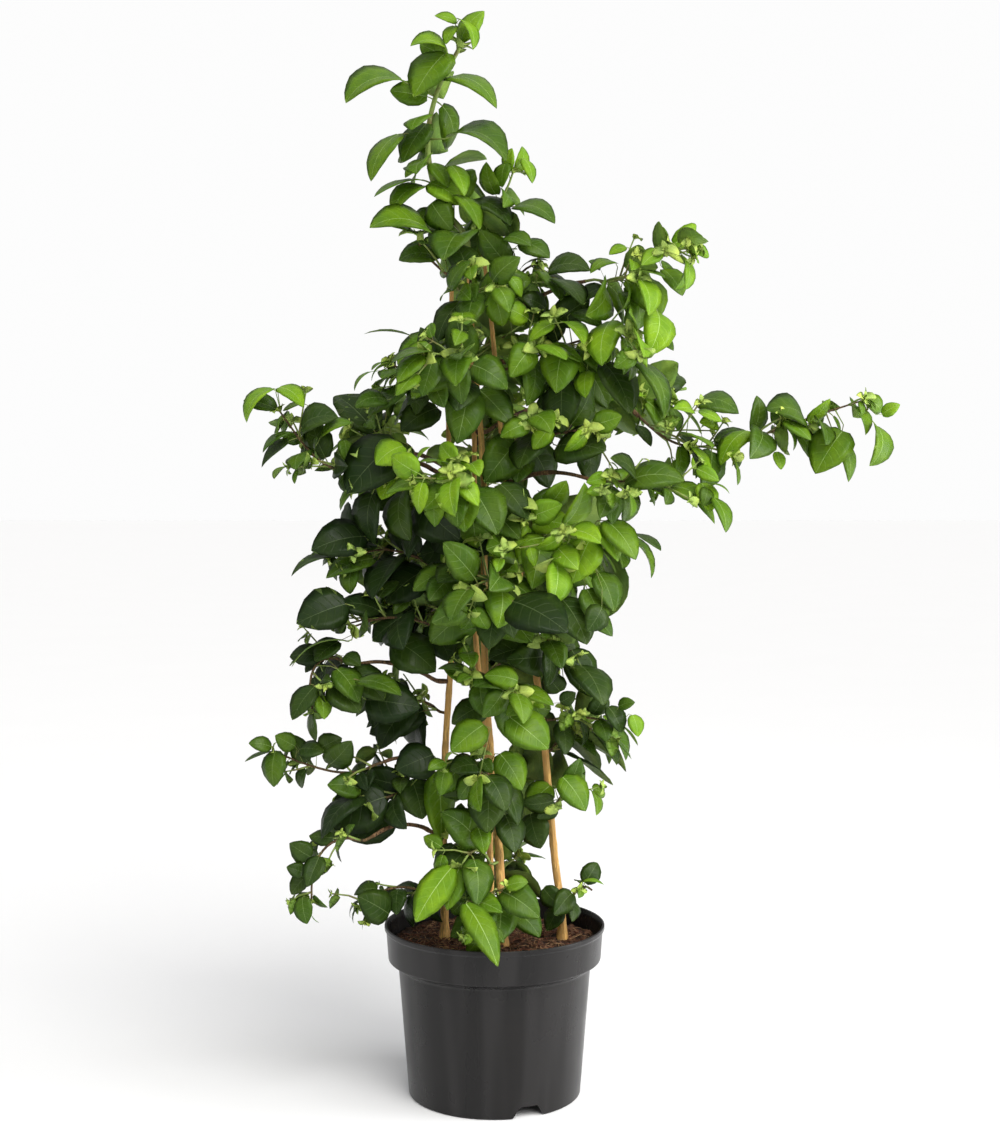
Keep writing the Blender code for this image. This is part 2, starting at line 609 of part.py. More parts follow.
def main():
    clear_scene()
    shown = new_collection("potted_climbing_hydrangea")
    cutters = new_collection("cutters")
    plastic = material("pot_plastic", (0.035, 0.037, 0.040), 0.38)
    compost = material("compost", (0.050, 0.028, 0.018), 0.95)
    bark = material("stem_bark", (0.230, 0.130, 0.060), 0.75)
    greens = {tone: material(f"leaf_{tone}", colour, 0.45) for tone, colour in GREENS.items()}

    pot = make_pot(shown, cutters)
    pot.data.materials.append(plastic)
    soil = make_soil(shown)
    soil.data.materials.append(compost)

    limbs, items = {}, [pot, soil]
    for name, (foot, top, foot_radius, top_radius, wander, phase) in STEMS.items():
        path = stem_path(foot, top, wander, phase)
        radii = stem_radii(path, foot_radius, top_radius)
        limbs[name] = (path, radii)
        items.append(tube(name, path, radii, shown))
    for name, (stem, height, tip, rise, start_radius, tip_radius) in BOUGHS.items():
        path = shoot_path(limbs[stem], height, tip, (0, 0, rise), SHOOT_POINTS)
        radii = np.linspace(start_radius, tip_radius, len(path))
        limbs[name] = (path, radii)
        items.append(tube(name, path, radii, shown))
    for item in items[2:]:
        item.data.materials.append(bark)

    spines = {name: spine_path(limbs, *row[:4], row[6]) for name, row in MASSES.items()}
    obstacles = [search_tree(evaluated_mesh(item)) for item in items]
    crown = Crown(obstacles, spines)
    for name, spine in spines.items():
        radii = np.linspace(SPINE_RADIUS, SPINE_RADIUS * TIP_SHARE, len(spine))
        probe = three_sided("probe", spine, radii, shown)
        crown.trees.append((f"{name}_spine", search_tree(probe.data)))
        bpy.data.objects.remove(probe)
    total = 0
    for index, (name, spine) in enumerate(spines.items()):
        body, count = make_mass(crown, name, FIRST_SEED + index, spine, shown)
        body.data.materials.clear()
        body.data.materials.append(greens[MASSES[name][7]])
        total += count
        print(f"{name}: {count} leaves, {len(body.data.polygons)} faces")
    faces = sum(len(f.vertices) - 2 for i in shown.objects for f in evaluated_mesh(i).polygons)
    print(f"{total} leaves, {faces} triangles")


main()
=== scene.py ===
"""The looks of a potted climbing hydrangea, made round its solid parts. All sizes are in metres.

+Z is up, the origin is the middle of the pot's underside and -Y is the front. The shrub grows by
one rule: four woody stems, the boughs that leave them, a leafy shoot for every mass of foliage,
side twigs in pairs on it, finer twigs in the angles of its leaves, and leaves in opposite pairs.
"""

import math
from collections import namedtuple

import bpy
import numpy as np
from mathutils import Matrix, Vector
from mathutils.bvhtree import BVHTree


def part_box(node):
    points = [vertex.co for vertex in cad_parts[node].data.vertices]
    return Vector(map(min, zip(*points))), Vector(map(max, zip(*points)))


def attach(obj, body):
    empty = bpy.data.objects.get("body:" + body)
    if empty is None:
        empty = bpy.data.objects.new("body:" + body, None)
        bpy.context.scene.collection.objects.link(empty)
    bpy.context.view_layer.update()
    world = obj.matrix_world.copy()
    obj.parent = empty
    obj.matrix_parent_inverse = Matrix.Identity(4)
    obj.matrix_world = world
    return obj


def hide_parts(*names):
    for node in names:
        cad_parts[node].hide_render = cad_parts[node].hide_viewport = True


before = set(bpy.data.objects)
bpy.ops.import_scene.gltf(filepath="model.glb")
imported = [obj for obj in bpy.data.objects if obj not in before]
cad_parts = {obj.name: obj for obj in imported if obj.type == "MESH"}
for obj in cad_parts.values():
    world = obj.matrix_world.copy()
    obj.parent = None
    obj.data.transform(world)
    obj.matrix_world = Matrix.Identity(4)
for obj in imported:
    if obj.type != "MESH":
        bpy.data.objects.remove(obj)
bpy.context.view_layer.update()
POT_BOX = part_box("pot")
SOIL_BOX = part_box("soil")

bl_info = {
    "name": "Potted climbing hydrangea",
    "version": (1, 0, 0),
    "blender": (4, 5, 0),
    "location": "3D View > Sidebar > Hydrangea",
    "description": "Makes a climbing hydrangea in a nursery pot, with its bark, leaves and compost",
    "category": "Object",
}

BODY = "root"

# ---- the crown's plan, the same as that of the solid parts ------------------------------------
GAP = 0.0003
CROWN_AXIS = (-0.012, 0.0)
STEM_POINTS = 12
SHOOT_POINTS = 6
FLARE_HEIGHT = 0.016
FLARE_GAIN = 0.55
HELIX_TURN = 2.6 * math.pi
SPINE_RADIUS = 0.0024
TWIG_RADIUS = 0.0020
TIP_SHARE = 0.62
SOLID_STEP = 0.025
FIRST_NODE = 0.016
SIDE_TWIG_ANGLE = math.radians(52)
LAST_LEAF = 0.70
FIRST_SEED = 100
SHARED = 1.12

# name: foot (x, y), top (x, y, z), radius at the foot and at the top, wander and its phase
STEMS = {
    "stem_centre": ((0.008, -0.022), (-0.026, -0.010, 0.835), 0.0055, 0.0027, 0.0050, 0.4),
    "stem_left": ((-0.050, 0.002), (-0.042, 0.002, 0.800), 0.0048, 0.0024, 0.0050, 2.1),
    "stem_right": ((0.068, 0.004), (-0.012, 0.006, 0.842), 0.0050, 0.0024, 0.0045, 3.9),
    "stem_back": ((-0.004, 0.046), (-0.027, 0.022, 0.780), 0.0046, 0.0024, 0.0050, 5.2),
}

# name: its stem, the height where it leaves, its tip, the rise of its arch, radii
BOUGHS = {
    "bough_upper_right": ("stem_right", 0.770, (0.088, -0.036, 0.803), 0.010, 0.0030, 0.0023),
    "bough_long_right": ("stem_right", 0.728, (0.142, -0.012, 0.674), 0.026, 0.0034, 0.0024),
    "bough_right": ("stem_right", 0.610, (0.092, -0.060, 0.612), 0.010, 0.0030, 0.0022),
    "bough_left_upper": ("stem_left", 0.620, (-0.128, -0.030, 0.626), 0.014, 0.0030, 0.0022),
    "bough_left_hanging": ("stem_left", 0.412, (-0.130, -0.042, 0.434), 0.012, 0.0028, 0.0021),
    "bough_left_long": ("stem_left", 0.330, (-0.108, -0.030, 0.336), 0.008, 0.0028, 0.0021),
    "bough_left_low": ("stem_left", 0.262, (-0.118, -0.058, 0.268), 0.014, 0.0026, 0.0021),
    "bough_back_left": ("stem_back", 0.610, (-0.098, 0.084, 0.640), 0.014, 0.0030, 0.0022),
    "bough_back_right": ("stem_back", 0.660, (0.072, 0.078, 0.690), 0.014, 0.0030, 0.0022),
}

# name after "foliage_", all sizes in millimetres: its limb, the height where it leaves (None at the
# limb's tip), the tip of its last leaf, how its stem bows, the reach of its own space, its pairs of
# side twigs, a real leaf's length with its stalk, and its age
MASSES = {
    "leader": ("stem_centre", None, (-36, -14, 1084), (-46, 0, 0), 100, 0, 76, "young"),
    "top_right": ("stem_right", None, (34, -6, 950), (6, 0, 0), 85, 0, 58, "young"),
    "top_left": ("stem_left", None, (-98, -14, 888), (-15, 0, 0), 85, 1, 64, "mid"),
    "top_back": ("stem_back", None, (-22, 72, 905), (0, 20, 0), 85, 1, 62, "mid"),
    "neck_front": ("stem_centre", 785, (-22, -100, 835), (0, 0, 10), 85, 1, 62, "mid"),
    "neck_right": ("stem_right", 790, (74, -30, 846), (0, 0, 10), 85, 2, 62, "mid"),
    "neck_back": ("stem_back", 730, (-18, 110, 800), (0, 0, 10), 90, 2, 64, "mid"),
    "upper_right": ("bough_upper_right", None, (212, -60, 852), (0, 0, -12), 95, 2, 72, "young"),
    "mid_right": ("stem_right", 720, (172, -75, 765), (0, 0, 10), 100, 3, 80, "mid"),
    "long_right": ("bough_long_right", None, (402, -30, 692), (0, 0, -12), 80, 3, 64, "mid"),
    "right_inner": ("stem_right", 640, (138, -85, 668), (0, 0, 10), 95, 2, 76, "old"),
    "right": ("bough_right", None, (222, -90, 590), (0, 0, 8), 75, 2, 54, "mid"),
    "back_right": ("bough_back_right", None, (180, 140, 712), (0, 0, 10), 100, 3, 72, "mid"),
    "left_upper": ("bough_left_upper", None, (-240, -42, 700), (-8, 0, -4), 75, 2, 56, "mid"),
    "left_mid": ("stem_left", 690, (-136, -30, 748), (0, 0, 10), 95, 3, 66, "mid"),
    "back_left": ("bough_back_left", None, (-190, 140, 670), (0, 0, 10), 100, 3, 72, "mid"),
    "centre_upper": ("stem_centre", 700, (-40, -140, 742), (0, 0, 10), 100, 3, 76, "mid"),
    "centre_left": ("stem_left", 580, (-126, -122, 640), (0, 0, 10), 105, 3, 90, "old"),
    "centre_front": ("stem_centre", 590, (-50, -165, 622), (0, 0, 10), 100, 3, 70, "young"),
    "front_right": ("stem_right", 545, (116, -135, 560), (0, 0, 15), 105, 3, 80, "young"),
    "front_middle": ("stem_centre", 500, (16, -162, 520), (0, 0, 15), 100, 3, 80, "mid"),
    "left_middle": ("stem_left", 520, (-190, -50, 548), (0, 0, 20), 100, 3, 84, "old"),
    "left_lower": ("stem_left", 462, (-182, -86, 476), (0, 0, 15), 100, 3, 80, "old"),
    "right_lower": ("stem_right", 430, (118, -66, 450), (0, 0, 15), 95, 3, 76, "old"),
    "back_upper": ("stem_back", 640, (-6, 150, 700), (0, 0, 10), 100, 3, 74, "mid"),
    "back": ("stem_back", 500, (-16, 236, 540), (0, 0, 10), 100, 3, 70, "mid"),
    "back_left_lower": ("stem_left", 480, (-142, 108, 510), (0, 0, 15), 105, 3, 80, "old"),
    "back_right_lower": ("stem_right", 520, (136, 108, 560), (0, 0, 15), 100, 3, 78, "old"),
    "back_lower": ("stem_back", 400, (-20, 154, 440), (0, 0, 15), 100, 3, 76, "old"),
    "left_hanging": ("bough_left_hanging", None, (-196, -84, 372), (-20, 0, 20), 75, 1, 48, "old"),
    "left_long": ("bough_left_long", None, (-246, -48, 352), (0, 0, -10), 60, 2, 46, "mid"),
    "left_broad": ("stem_left", 300, (-166, -78, 292), (0, 0, 10), 90, 2, 82, "old"),
    "left_low": ("bough_left_low", None, (-194, -84, 192), (-20, 0, 20), 60, 1, 40, "mid"),
    "centre_lower": ("stem_centre", 400, (34, -130, 420), (0, 0, 10), 95, 3, 62, "young"),
    "front_low": ("stem_centre", 320, (-24, -128, 336), (0, 0, 10), 90, 3, 64, "mid"),
    "right_small": ("stem_right", 372, (152, -30, 372), (0, 0, 4), 65, 1, 44, "mid"),
    "right_low": ("stem_right", 290, (96, -70, 316), (0, 0, 10), 80, 2, 60, "mid"),
    "back_right_low": ("stem_right", 340, (106, 100, 370), (0, 0, 10), 90, 2, 66, "old"),
    "back_low": ("stem_back", 290, (-10, 138, 322), (0, 0, 10), 90, 2, 64, "mid"),
    "back_left_low": ("stem_left", 380, (-128, 84, 380), (0, 0, 10), 90, 2, 66, "old"),
    "front_foot": ("stem_centre", 235, (-60, -112, 250), (0, 0, 20), 80, 1, 72, "young"),
    "rim_front": ("stem_centre", 190, (-12, -138, 172), (0, 0, 40), 65, 1, 62, "young"),
    "rim_left": ("stem_left", 195, (-156, -70, 200), (0, 0, 20), 60, 1, 42, "mid"),
    "rim_right": ("stem_right", 192, (116, -40, 218), (0, 0, 12), 55, 1, 40, "mid"),
    "rim_back": ("stem_back", 200, (20, 130, 208), (0, 0, 15), 65, 1, 46, "mid"),
}

Mass = namedtuple("Mass", "limb height tip bow reach pairs leaf age")


def in_metres(limb, height, tip, bow, reach, pairs, leaf, age):
    height = height and height / 1000
    places = np.array([tip, bow]) / 1000
    return Mass(limb, height, *places, reach / 1000, pairs, leaf / 1000, age)


MASSES = {name: in_metres(*row) for name, row in MASSES.items()}


def nodes_of(names):
    """The solid parts' names of some masses."""
    return [f"foliage_{name}" for name in sorted(names)]


# ---- vectors ----------------------------------------------------------------------------------
def unit(v):
    return v / np.linalg.norm(v, axis=-1, keepdims=True)


def across(direction, hint):
    """The unit vector nearest to hint that is square to direction."""
    return unit(hint - np.sum(hint * direction, axis=-1, keepdims=True) * direction)


def side_at(direction, turn):
    """A side square to a direction: cos(turn) level + sin(turn) up."""
    level = across(direction, np.cross(direction, (0.0, 0.0, 1.0)) + (1e-6, 0, 0))
    return math.cos(turn) * level + math.sin(turn) * np.cross(level, direction)


def bezier(p0, p1, p2, p3, count):
    """A cubic curve: (1-t)^3 p0 + 3 t (1-t)^2 p1 + 3 t^2 (1-t) p2 + t^3 p3 at even steps of t."""
    t = np.linspace(0.0, 1.0, count)[:, None]
    return (1 - t) ** 3 * p0 + 3 * t * (1 - t) ** 2 * p1 + 3 * t**2 * (1 - t) * p2 + t**3 * p3


def tangents(paths):
    """The unit direction of each path at each of its points, from the points beside it."""
    return unit(np.gradient(paths, axis=-2))


def outward(point):
    """The level direction from the crown's axis to a point."""
    away = np.array([point[0] - CROWN_AXIS[0], point[1] - CROWN_AXIS[1], 0.0])
    return unit(away + (0.0, -1e-6, 0.0))


def run_along(path):
    """How far along its path each point lies."""
    return np.concatenate([[0.0], np.cumsum(np.linalg.norm(np.diff(path, axis=0), axis=1))])


def read_off(place, run, values):
    """The values that belong to a path's points, read off at a place between them."""
    return np.array([np.interp(place, run, column) for column in values.T])


def resampled(path, radii, step):
    """A path and its radii read off again, evenly spaced along a smooth cubic through its points."""
    run = run_along(path)
    slope = np.gradient(path, run, axis=0)
    at = np.linspace(0.0, run[-1], max(4, int(run[-1] / step)))
    k = np.clip(np.searchsorted(run, at) - 1, 0, len(run) - 2)
    width = (run[k + 1] - run[k])[:, None]
    t = (at[:, None] - run[k][:, None]) / width
    smooth = (
        (2 * t**3 - 3 * t**2 + 1) * path[k]
        + (t**3 - 2 * t**2 + t) * width * slope[k]
        + (3 * t**2 - 2 * t**3) * path[k + 1]
        + (t**3 - t**2) * width * slope[k + 1]
    )
    return smooth, np.interp(at, run, radii)


# ---- meshes -----------------------------------------------------------------------------------
def ring_faces(rings, sides):
    """Quads between neighbouring closed rings, and a fan of triangles to a pole at either end.

    Point k of ring j is number j * sides + k, and the first and last poles come after all rings.
    """
    j, k = np.meshgrid(np.arange(rings - 1), np.arange(sides), indexing="ij")
    near, far, after = j * sides, (j + 1) * sides, (k + 1) % sides
    quads = np.stack([near + k, near + after, far + after, far + k], -1)
    side = np.arange(sides)
    beyond = (side + 1) % sides
    first, last, top = rings * sides, rings * sides + 1, (rings - 1) * sides
    start = np.stack([beyond, side, np.full(sides, first)], -1)
    end = np.stack([top + side, top + beyond, np.full(sides, last)], -1)
    return quads.reshape(-1, 4), np.concatenate([start, end])


def with_poles(rings):
    """Ring points of shape (n, rings, sides, 3) as (n, points, 3), with both end centres added."""
    flat = rings.reshape(len(rings), -1, 3)
    return np.concatenate([flat, rings[:, :1].mean(2), rings[:, -1:].mean(2)], axis=1)


def tubes(paths, radii, sides):
    """Circles carried along n paths of shape (n, k, 3) at once.

    A point is path + radius * (cos a * side + sin a * other). The side is a direction square to
    the path's chord with its part along the path taken away, and other is square to both. The
    radii have the shape (n, k), or (n, k, sides) where the skin has a relief.
    """
    chord = unit(paths[:, -1] - paths[:, 0])
    level = np.cross(chord, (0.0, 0.0, 1.0)) + (1e-4, 0.0, 0.0)
    along = tangents(paths)
    side = across(along, np.broadcast_to(across(chord, level)[:, None], along.shape))
    other = np.cross(along, side)
    a = np.arange(sides) * math.tau / sides
    if radii.ndim == 2:
        radii = np.repeat(radii[..., None], sides, axis=2)
    circle = np.cos(a)[:, None] * side[:, :, None] + np.sin(a)[:, None] * other[:, :, None]
    return with_poles(paths[:, :, None] + radii[..., None] * circle)


def copies(faces, count, stride):
    """The same faces for count shapes whose points follow each other, stride points a shape."""
    return (faces[None] + stride * np.arange(count)[:, None, None]).reshape(-1, faces.shape[1])


def build_mesh(name, points, quads, tris, finishes, slots=None, maps=None):
    """Puts whole arrays of points and faces into one piece, quads first, and rides it on the part.

    The slots are one finish number a face. The maps are named arrays of one place a corner.
    """
    mesh = bpy.data.meshes.new(name)
    points = np.ascontiguousarray(points, dtype=np.float32).reshape(-1, 3)
    corners = np.concatenate([quads.ravel(), tris.ravel()]).astype(np.int32)
    totals = np.repeat([4, 3], [len(quads), len(tris)]).astype(np.int32)
    mesh.vertices.add(len(points))
    mesh.vertices.foreach_set("co", points.ravel())
    mesh.loops.add(len(corners))
    mesh.loops.foreach_set("vertex_index", corners)
    mesh.polygons.add(len(totals))
    mesh.polygons.foreach_set("loop_start", (np.cumsum(totals) - totals).astype(np.int32))
    mesh.polygons.foreach_set("loop_total", totals)
    if slots is not None:
        mesh.polygons.foreach_set("material_index", np.asarray(slots, dtype=np.int32))
    for title, places in (maps or {}).items():
        layer = mesh.uv_layers.new(name=title)
        layer.data.foreach_set("uv", np.ascontiguousarray(places, dtype=np.float32).ravel())
    mesh.update(calc_edges=True)
    mesh.validate()
    mesh.shade_smooth()
    for finish in finishes:
        mesh.materials.append(finish)
    piece = bpy.data.objects.new(name, mesh)
    bpy.context.scene.collection.objects.link(piece)
    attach(piece, BODY)
    return piece


def tube_piece(name, rows, sides, finish):
    """Tubes, each a path and its radii, as one piece. Those with equally many points go at once."""
    points, quads, tris, start = [], [], [], 0
    for size in sorted({len(path) for path, _ in rows}):
        paths, radii = zip(*[row for row in rows if len(row[0]) == size])
        whole = tubes(np.stack(paths), np.stack(radii), sides)
        count, stride = whole.shape[:2]
        ring_quads, ring_tris = ring_faces(size, sides)
        points.append(whole.reshape(-1, 3))
        quads.append(copies(ring_quads, count, stride) + start)
        tris.append(copies(ring_tris, count, stride) + start)
        start += count * stride
    return build_mesh(name, *map(np.concatenate, (points, quads, tris)), [finish])


def waves(a, b, rng, count, longest, shortest):
    """A rough height field: plane waves of random heading, each as high as it is long."""
    length = np.geomspace(longest, shortest, count)
    heading = rng.uniform(0.0, math.tau, count)
    phase = rng.uniform(0.0, math.tau, count)
    reach = a[..., None] * np.cos(heading) + b[..., None] * np.sin(heading)
    return (length * np.sin(math.tau * reach / length + phase)).sum(-1) / length.sum()


# ---- finishes ---------------------------------------------------------------------------------
class Finish:
    """A material on a Principled shader, with short calls that add the nodes of its pattern."""

    def __init__(self, name, colour, roughness, gloss=0.3):
        self.material = bpy.data.materials.new(name)
        self.material.use_nodes = True
        self.tree = self.material.node_tree
        self.shader = self.tree.nodes["Principled BSDF"]
        self.shader.inputs["Base Color"].default_value = (*colour, 1.0)
        self.shader.inputs["Roughness"].default_value = roughness
        self.shader.inputs["Specular IOR Level"].default_value = gloss
        self.material.diffuse_color = (*colour, 1.0)
        self.place = self.add("ShaderNodeTexCoord").outputs["Object"]

    def give(self, socket, value):
        """Links a socket to another node's output, or sets its own value."""
        if isinstance(value, bpy.types.NodeSocket):
            self.tree.links.new(value, socket)
        else:
            socket.default_value = value

    def add(self, kind, **inputs):
        node = self.tree.nodes.new(kind)
        for title, value in inputs.items():
            self.give(node.inputs[title], value)
        return node

    def sums(self, operation, first, second=0.0):
        node = self.add("ShaderNodeMath")
        node.operation = operation
        self.give(node.inputs[0], first)
        self.give(node.inputs[1], second)
        return node.outputs[0]

    def spread(self, value, low, high, out_low=0.0, out_high=1.0):
        """A value carried smoothly from its own range to another, and held at both ends."""
        node = self.add("ShaderNodeMapRange")
        node.interpolation_type = "SMOOTHSTEP"
        for socket, entry in zip(node.inputs, (value, low, high, out_low, out_high)):
            self.give(socket, entry)
        return node.outputs[0]

    def noise(self, scale, detail, rise=1.0):
        """Cloudy noise, so many clouds a metre, drawn out upright where rise is under 1."""
        place = self.place
        if rise != 1.0:
            place = self.add("ShaderNodeMapping", Vector=place, Scale=(1.0, 1.0, rise)).outputs[0]
        return self.add("ShaderNodeTexNoise", Vector=place, Scale=scale, Detail=detail).outputs["Fac"]

    def clouds(self, scale, detail, low, high, rise=1.0):
        """Noise spread from 0 where it is low to 1 where it is high."""
        return self.spread(self.noise(scale, detail, rise), low, high)

    def mixed(self, share, first, second):
        """The first colour where the share is 0 and the second where it is 1."""
        node = self.add("ShaderNodeMix")
        node.data_type = "RGBA"
        self.give(node.inputs[0], share)
        for socket, colour in ((node.inputs[6], first), (node.inputs[7], second)):
            self.give(socket, colour if isinstance(colour, bpy.types.NodeSocket) else (*colour, 1.0))
        return node.outputs[2]

    def colour(self, socket):
        self.give(self.shader.inputs["Base Color"], socket)

    def roughness(self, socket):
        self.give(self.shader.inputs["Roughness"], socket)

    def relief(self, height, depth, strength=1.0):
        """Bumps as deep as depth metres where the height goes from 0 to 1."""
        node = self.add("ShaderNodeBump", Height=height, Distance=depth, Strength=strength)
        self.give(self.shader.inputs["Normal"], node.outputs[0])


def shade(colour, gain, tint=(1.0, 1.0, 1.0)):
    """A colour made lighter or darker and tinted, kept under white."""
    return tuple(min(1.0, c * gain * t) for c, t in zip(colour, tint))


def towards(colour, other, share):
    return tuple(c + share * (o - c) for c, o in zip(colour, other))


def plastic_finish(colour):
    """Moulded plastic: a faint orange peel, upright flow marks in its roughness, dust that dulls it in
    patches, and paler upright bands painted into its colour as highlights.
    """
    finish = Finish("pot_plastic", colour, 0.34, 0.24)
    dust = finish.clouds(18.0, 3.0, 0.30, 0.80)
    flow = finish.noise(90.0, 2.0, 0.05)
    # Painted highlights: paler upright bands in the plastic's colour, standing in for the reflections of
    # tall lamps.
    painted_highlight_band = finish.clouds(34.0, 1.0, 0.42, 0.62, 0.02)
    base = finish.mixed(dust, shade(colour, 0.90), shade(colour, 1.10, (1.04, 1.0, 0.97)))
    finish.colour(finish.mixed(painted_highlight_band, base, shade(colour, 1.90)))
    finish.roughness(finish.spread(finish.sums("ADD", dust, flow), 0.3, 1.6, 0.26, 0.36))
    finish.relief(finish.noise(900.0, 2.0), 0.00003, 0.10)
    return finish.material


def compost_finish(colour):
    """Damp peat: dark crumbs, red-brown fibre and paler grains, with a rough bumpy grain."""
    finish = Finish("compost_peat", colour, 0.9)
    crumbs = finish.clouds(160.0, 6.0, 0.35, 0.65)
    red = finish.clouds(420.0, 3.0, 0.55, 0.72)
    grains = finish.clouds(1100.0, 2.0, 0.66, 0.76)
    base = finish.mixed(crumbs, shade(colour, 0.35), shade(colour, 1.25))
    base = finish.mixed(red, base, shade(colour, 2.0, (1.35, 0.95, 0.75)))
    finish.colour(finish.mixed(grains, base, (0.30, 0.20, 0.12)))
    finish.roughness(finish.spread(crumbs, 0.0, 1.0, 0.95, 0.75))
    finish.relief(finish.noise(600.0, 6.0), 0.0016)
    return finish.material


def strand_finish(name, colour):
    """A dry strand or chip: its colour breaks up along its length."""
    finish = Finish(name, colour, 0.8)
    patch = finish.noise(260.0, 4.0)
    shares = finish.spread(patch, 0.35, 0.68)
    finish.colour(finish.mixed(shares, shade(colour, 0.45), shade(colour, 1.3)))
    finish.relief(patch, 0.0004)
    return finish.material


def bark_finish(name, colour, ridge, groove_darkening=1.0):
    """Woody bark: upright fibres, darker cracks between them, and grey-tan flakes that lift off."""
    finish = Finish(name, colour, 0.78)
    fibre = finish.noise(700.0, 5.0, 0.12)
    flake = finish.clouds(130.0, 4.0, 0.46, 0.62, 0.35)
    crack = finish.clouds(420.0, 3.0, 0.56, 0.66, 0.10)
    lifted = shade(colour, 1.45, (1.0, 1.02, 1.05))
    base = finish.mixed(flake, shade(colour, 0.80, (1.08, 0.95, 0.85)), lifted)
    # The bark is darker where its fibres part and darker still in its cracks, by a share that the last
    # argument sets.
    base = finish.mixed(finish.spread(fibre, 0.35, 0.70), shade(colour, 1.0 - 0.45 * groove_darkening), base)
    finish.colour(finish.mixed(crack, base, shade(colour, 1.0 - 0.78 * groove_darkening)))
    finish.roughness(finish.spread(flake, 0.0, 1.0, 0.62, 0.86))
    finish.relief(finish.sums("SUBTRACT", finish.sums("ADD", fibre, flake), crack), ridge)
    return finish.material


def shoot_finish(name, colour, ridge_colour):
    """A green shoot: fine lengthwise lines and a blush of its older colour in patches."""
    finish = Finish(name, colour, 0.5)
    line = finish.noise(900.0, 3.0, 0.15)
    blush = finish.clouds(70.0, 3.0, 0.42, 0.66)
    finish.colour(finish.mixed(finish.sums("MULTIPLY", blush, 0.75), colour, ridge_colour))
    finish.roughness(finish.spread(line, 0.3, 0.7, 0.42, 0.62))
    finish.relief(line, 0.0002)
    return finish.material


def leaf_finish(name, colour, vein_colour, vein_share, gloss, sunk):
    """One face of a leaf. Side veins sweep forward from the midrib and fade out at the margin.

    On the leaf's own map a point has its share across, 0.5 on the midrib, and its share along. A
    vein passes where share along - VEIN_SWEEP * (distance across) ^ 1.3 is a whole number of
    vein steps. Clouds darken and yellow the blade, and it puckers up between its veins.
    """
    finish = Finish(name, colour, gloss, 0.15)
    lengths = finish.add("ShaderNodeUVMap")
    lengths.uv_map = LEAF_MAP
    split = finish.add("ShaderNodeSeparateXYZ", Vector=lengths.outputs[0])
    off_rib = finish.sums("ABSOLUTE", finish.sums("SUBTRACT", split.outputs[0], 0.5))
    side = finish.sums("MULTIPLY", off_rib, 2.0)
    sweep = finish.sums("MULTIPLY", finish.sums("POWER", side, 1.3), VEIN_SWEEP)
    step = finish.sums("MULTIPLY", finish.sums("SUBTRACT", split.outputs[1], sweep), VEIN_COUNT)
    off = finish.sums("ABSOLUTE", finish.sums("SUBTRACT", finish.sums("FRACT", step), 0.5))
    vein = finish.spread(off, 0.02, 0.10, 1.0, 0.0)
    vein = finish.sums("MULTIPLY", vein, finish.spread(side, 0.25, 0.98, 1.0, 0.15))
    cloud = finish.clouds(48.0, 4.0, 0.34, 0.68)
    fine = finish.noise(520.0, 3.0)
    yellowed = shade(colour, 1.14, (1.10, 1.02, 0.85))
    blade = finish.mixed(cloud, shade(colour, 0.84, (0.92, 1.0, 1.05)), yellowed)
    blade = finish.mixed(finish.spread(fine, 0.35, 0.75, 0.0, 0.35), blade, shade(colour, 0.72))
    finish.colour(finish.mixed(finish.sums("MULTIPLY", vein, vein_share), blade, vein_colour))
    finish.roughness(finish.spread(finish.noise(150.0, 2.0), 0.3, 0.7, gloss - 0.06, gloss + 0.08))
    grain = finish.sums("MULTIPLY", fine, 0.25)
    finish.relief(finish.sums("ADD", finish.sums("MULTIPLY", vein, -sunk), grain), 0.0006, 0.7)
    return finish.material


def rib_finish(name, colour):
    """A midrib, paler than the blade, with a little of the blade's colour along it."""
    finish = Finish(name, colour, 0.5)
    cloud = finish.clouds(90.0, 3.0, 0.35, 0.70)
    finish.colour(finish.mixed(cloud, colour, shade(colour, 0.78, (0.95, 1.0, 0.9))))
    return finish.material


# ---- the pot ----------------------------------------------------------------------------------
POT_HEIGHT = POT_BOX[1][2]
RIM_RADIUS = POT_BOX[1][0]
LIP_DEPTH = 0.004
COLLAR_RADIUS = 0.1082
COLLAR_DEPTH = 0.034
COLLAR_FOOT_RADIUS = 0.1062
SHOULDER_DEPTH = 0.040
BODY_TOP_RADIUS = 0.0962
BASE_RADIUS = 0.0860
WALL = 0.0020
FOOT_HEIGHT = 0.0140
FOOT_WIDTH = 0.0035
BOSS_RADIUS = 0.050
NOTCH_HALF_ANGLE = 0.0175 / BASE_RADIUS
NOTCH_SLOPE_ANGLE = 0.0090 / BASE_RADIUS
NOTCH_HEIGHT = 0.0105
NOTCH_COUNT = 2
NOTCH_TURN = math.radians(23 - 90)
SEAM_TURN = math.radians(-100)
SEAM_HEIGHT = 0.0003
SEAM_HALF_ANGLE = math.radians(0.45)
POT_COLUMNS = 240


def filleted(corners, steps):
    """A profile whose corners are rounded by quadratic arcs.

    Each corner is (radius, height, fillet): its arc starts and ends a fillet away along both
    sides and bends towards the corner, (1-t)^2 start + 2 t (1-t) corner + t^2 end.
    """
    places, size = np.split(np.array(corners), [2], axis=1)
    before = unit(np.roll(places, 1, axis=0) - places) * size + places
    after = unit(np.roll(places, -1, axis=0) - places) * size + places
    t = np.linspace(0.0, 1.0, steps)[None, :, None]
    arcs = (1 - t) ** 2 * before[:, None] + 2 * t * (1 - t) * places[:, None] + t**2 * after[:, None]
    return arcs.reshape(-1, 2)


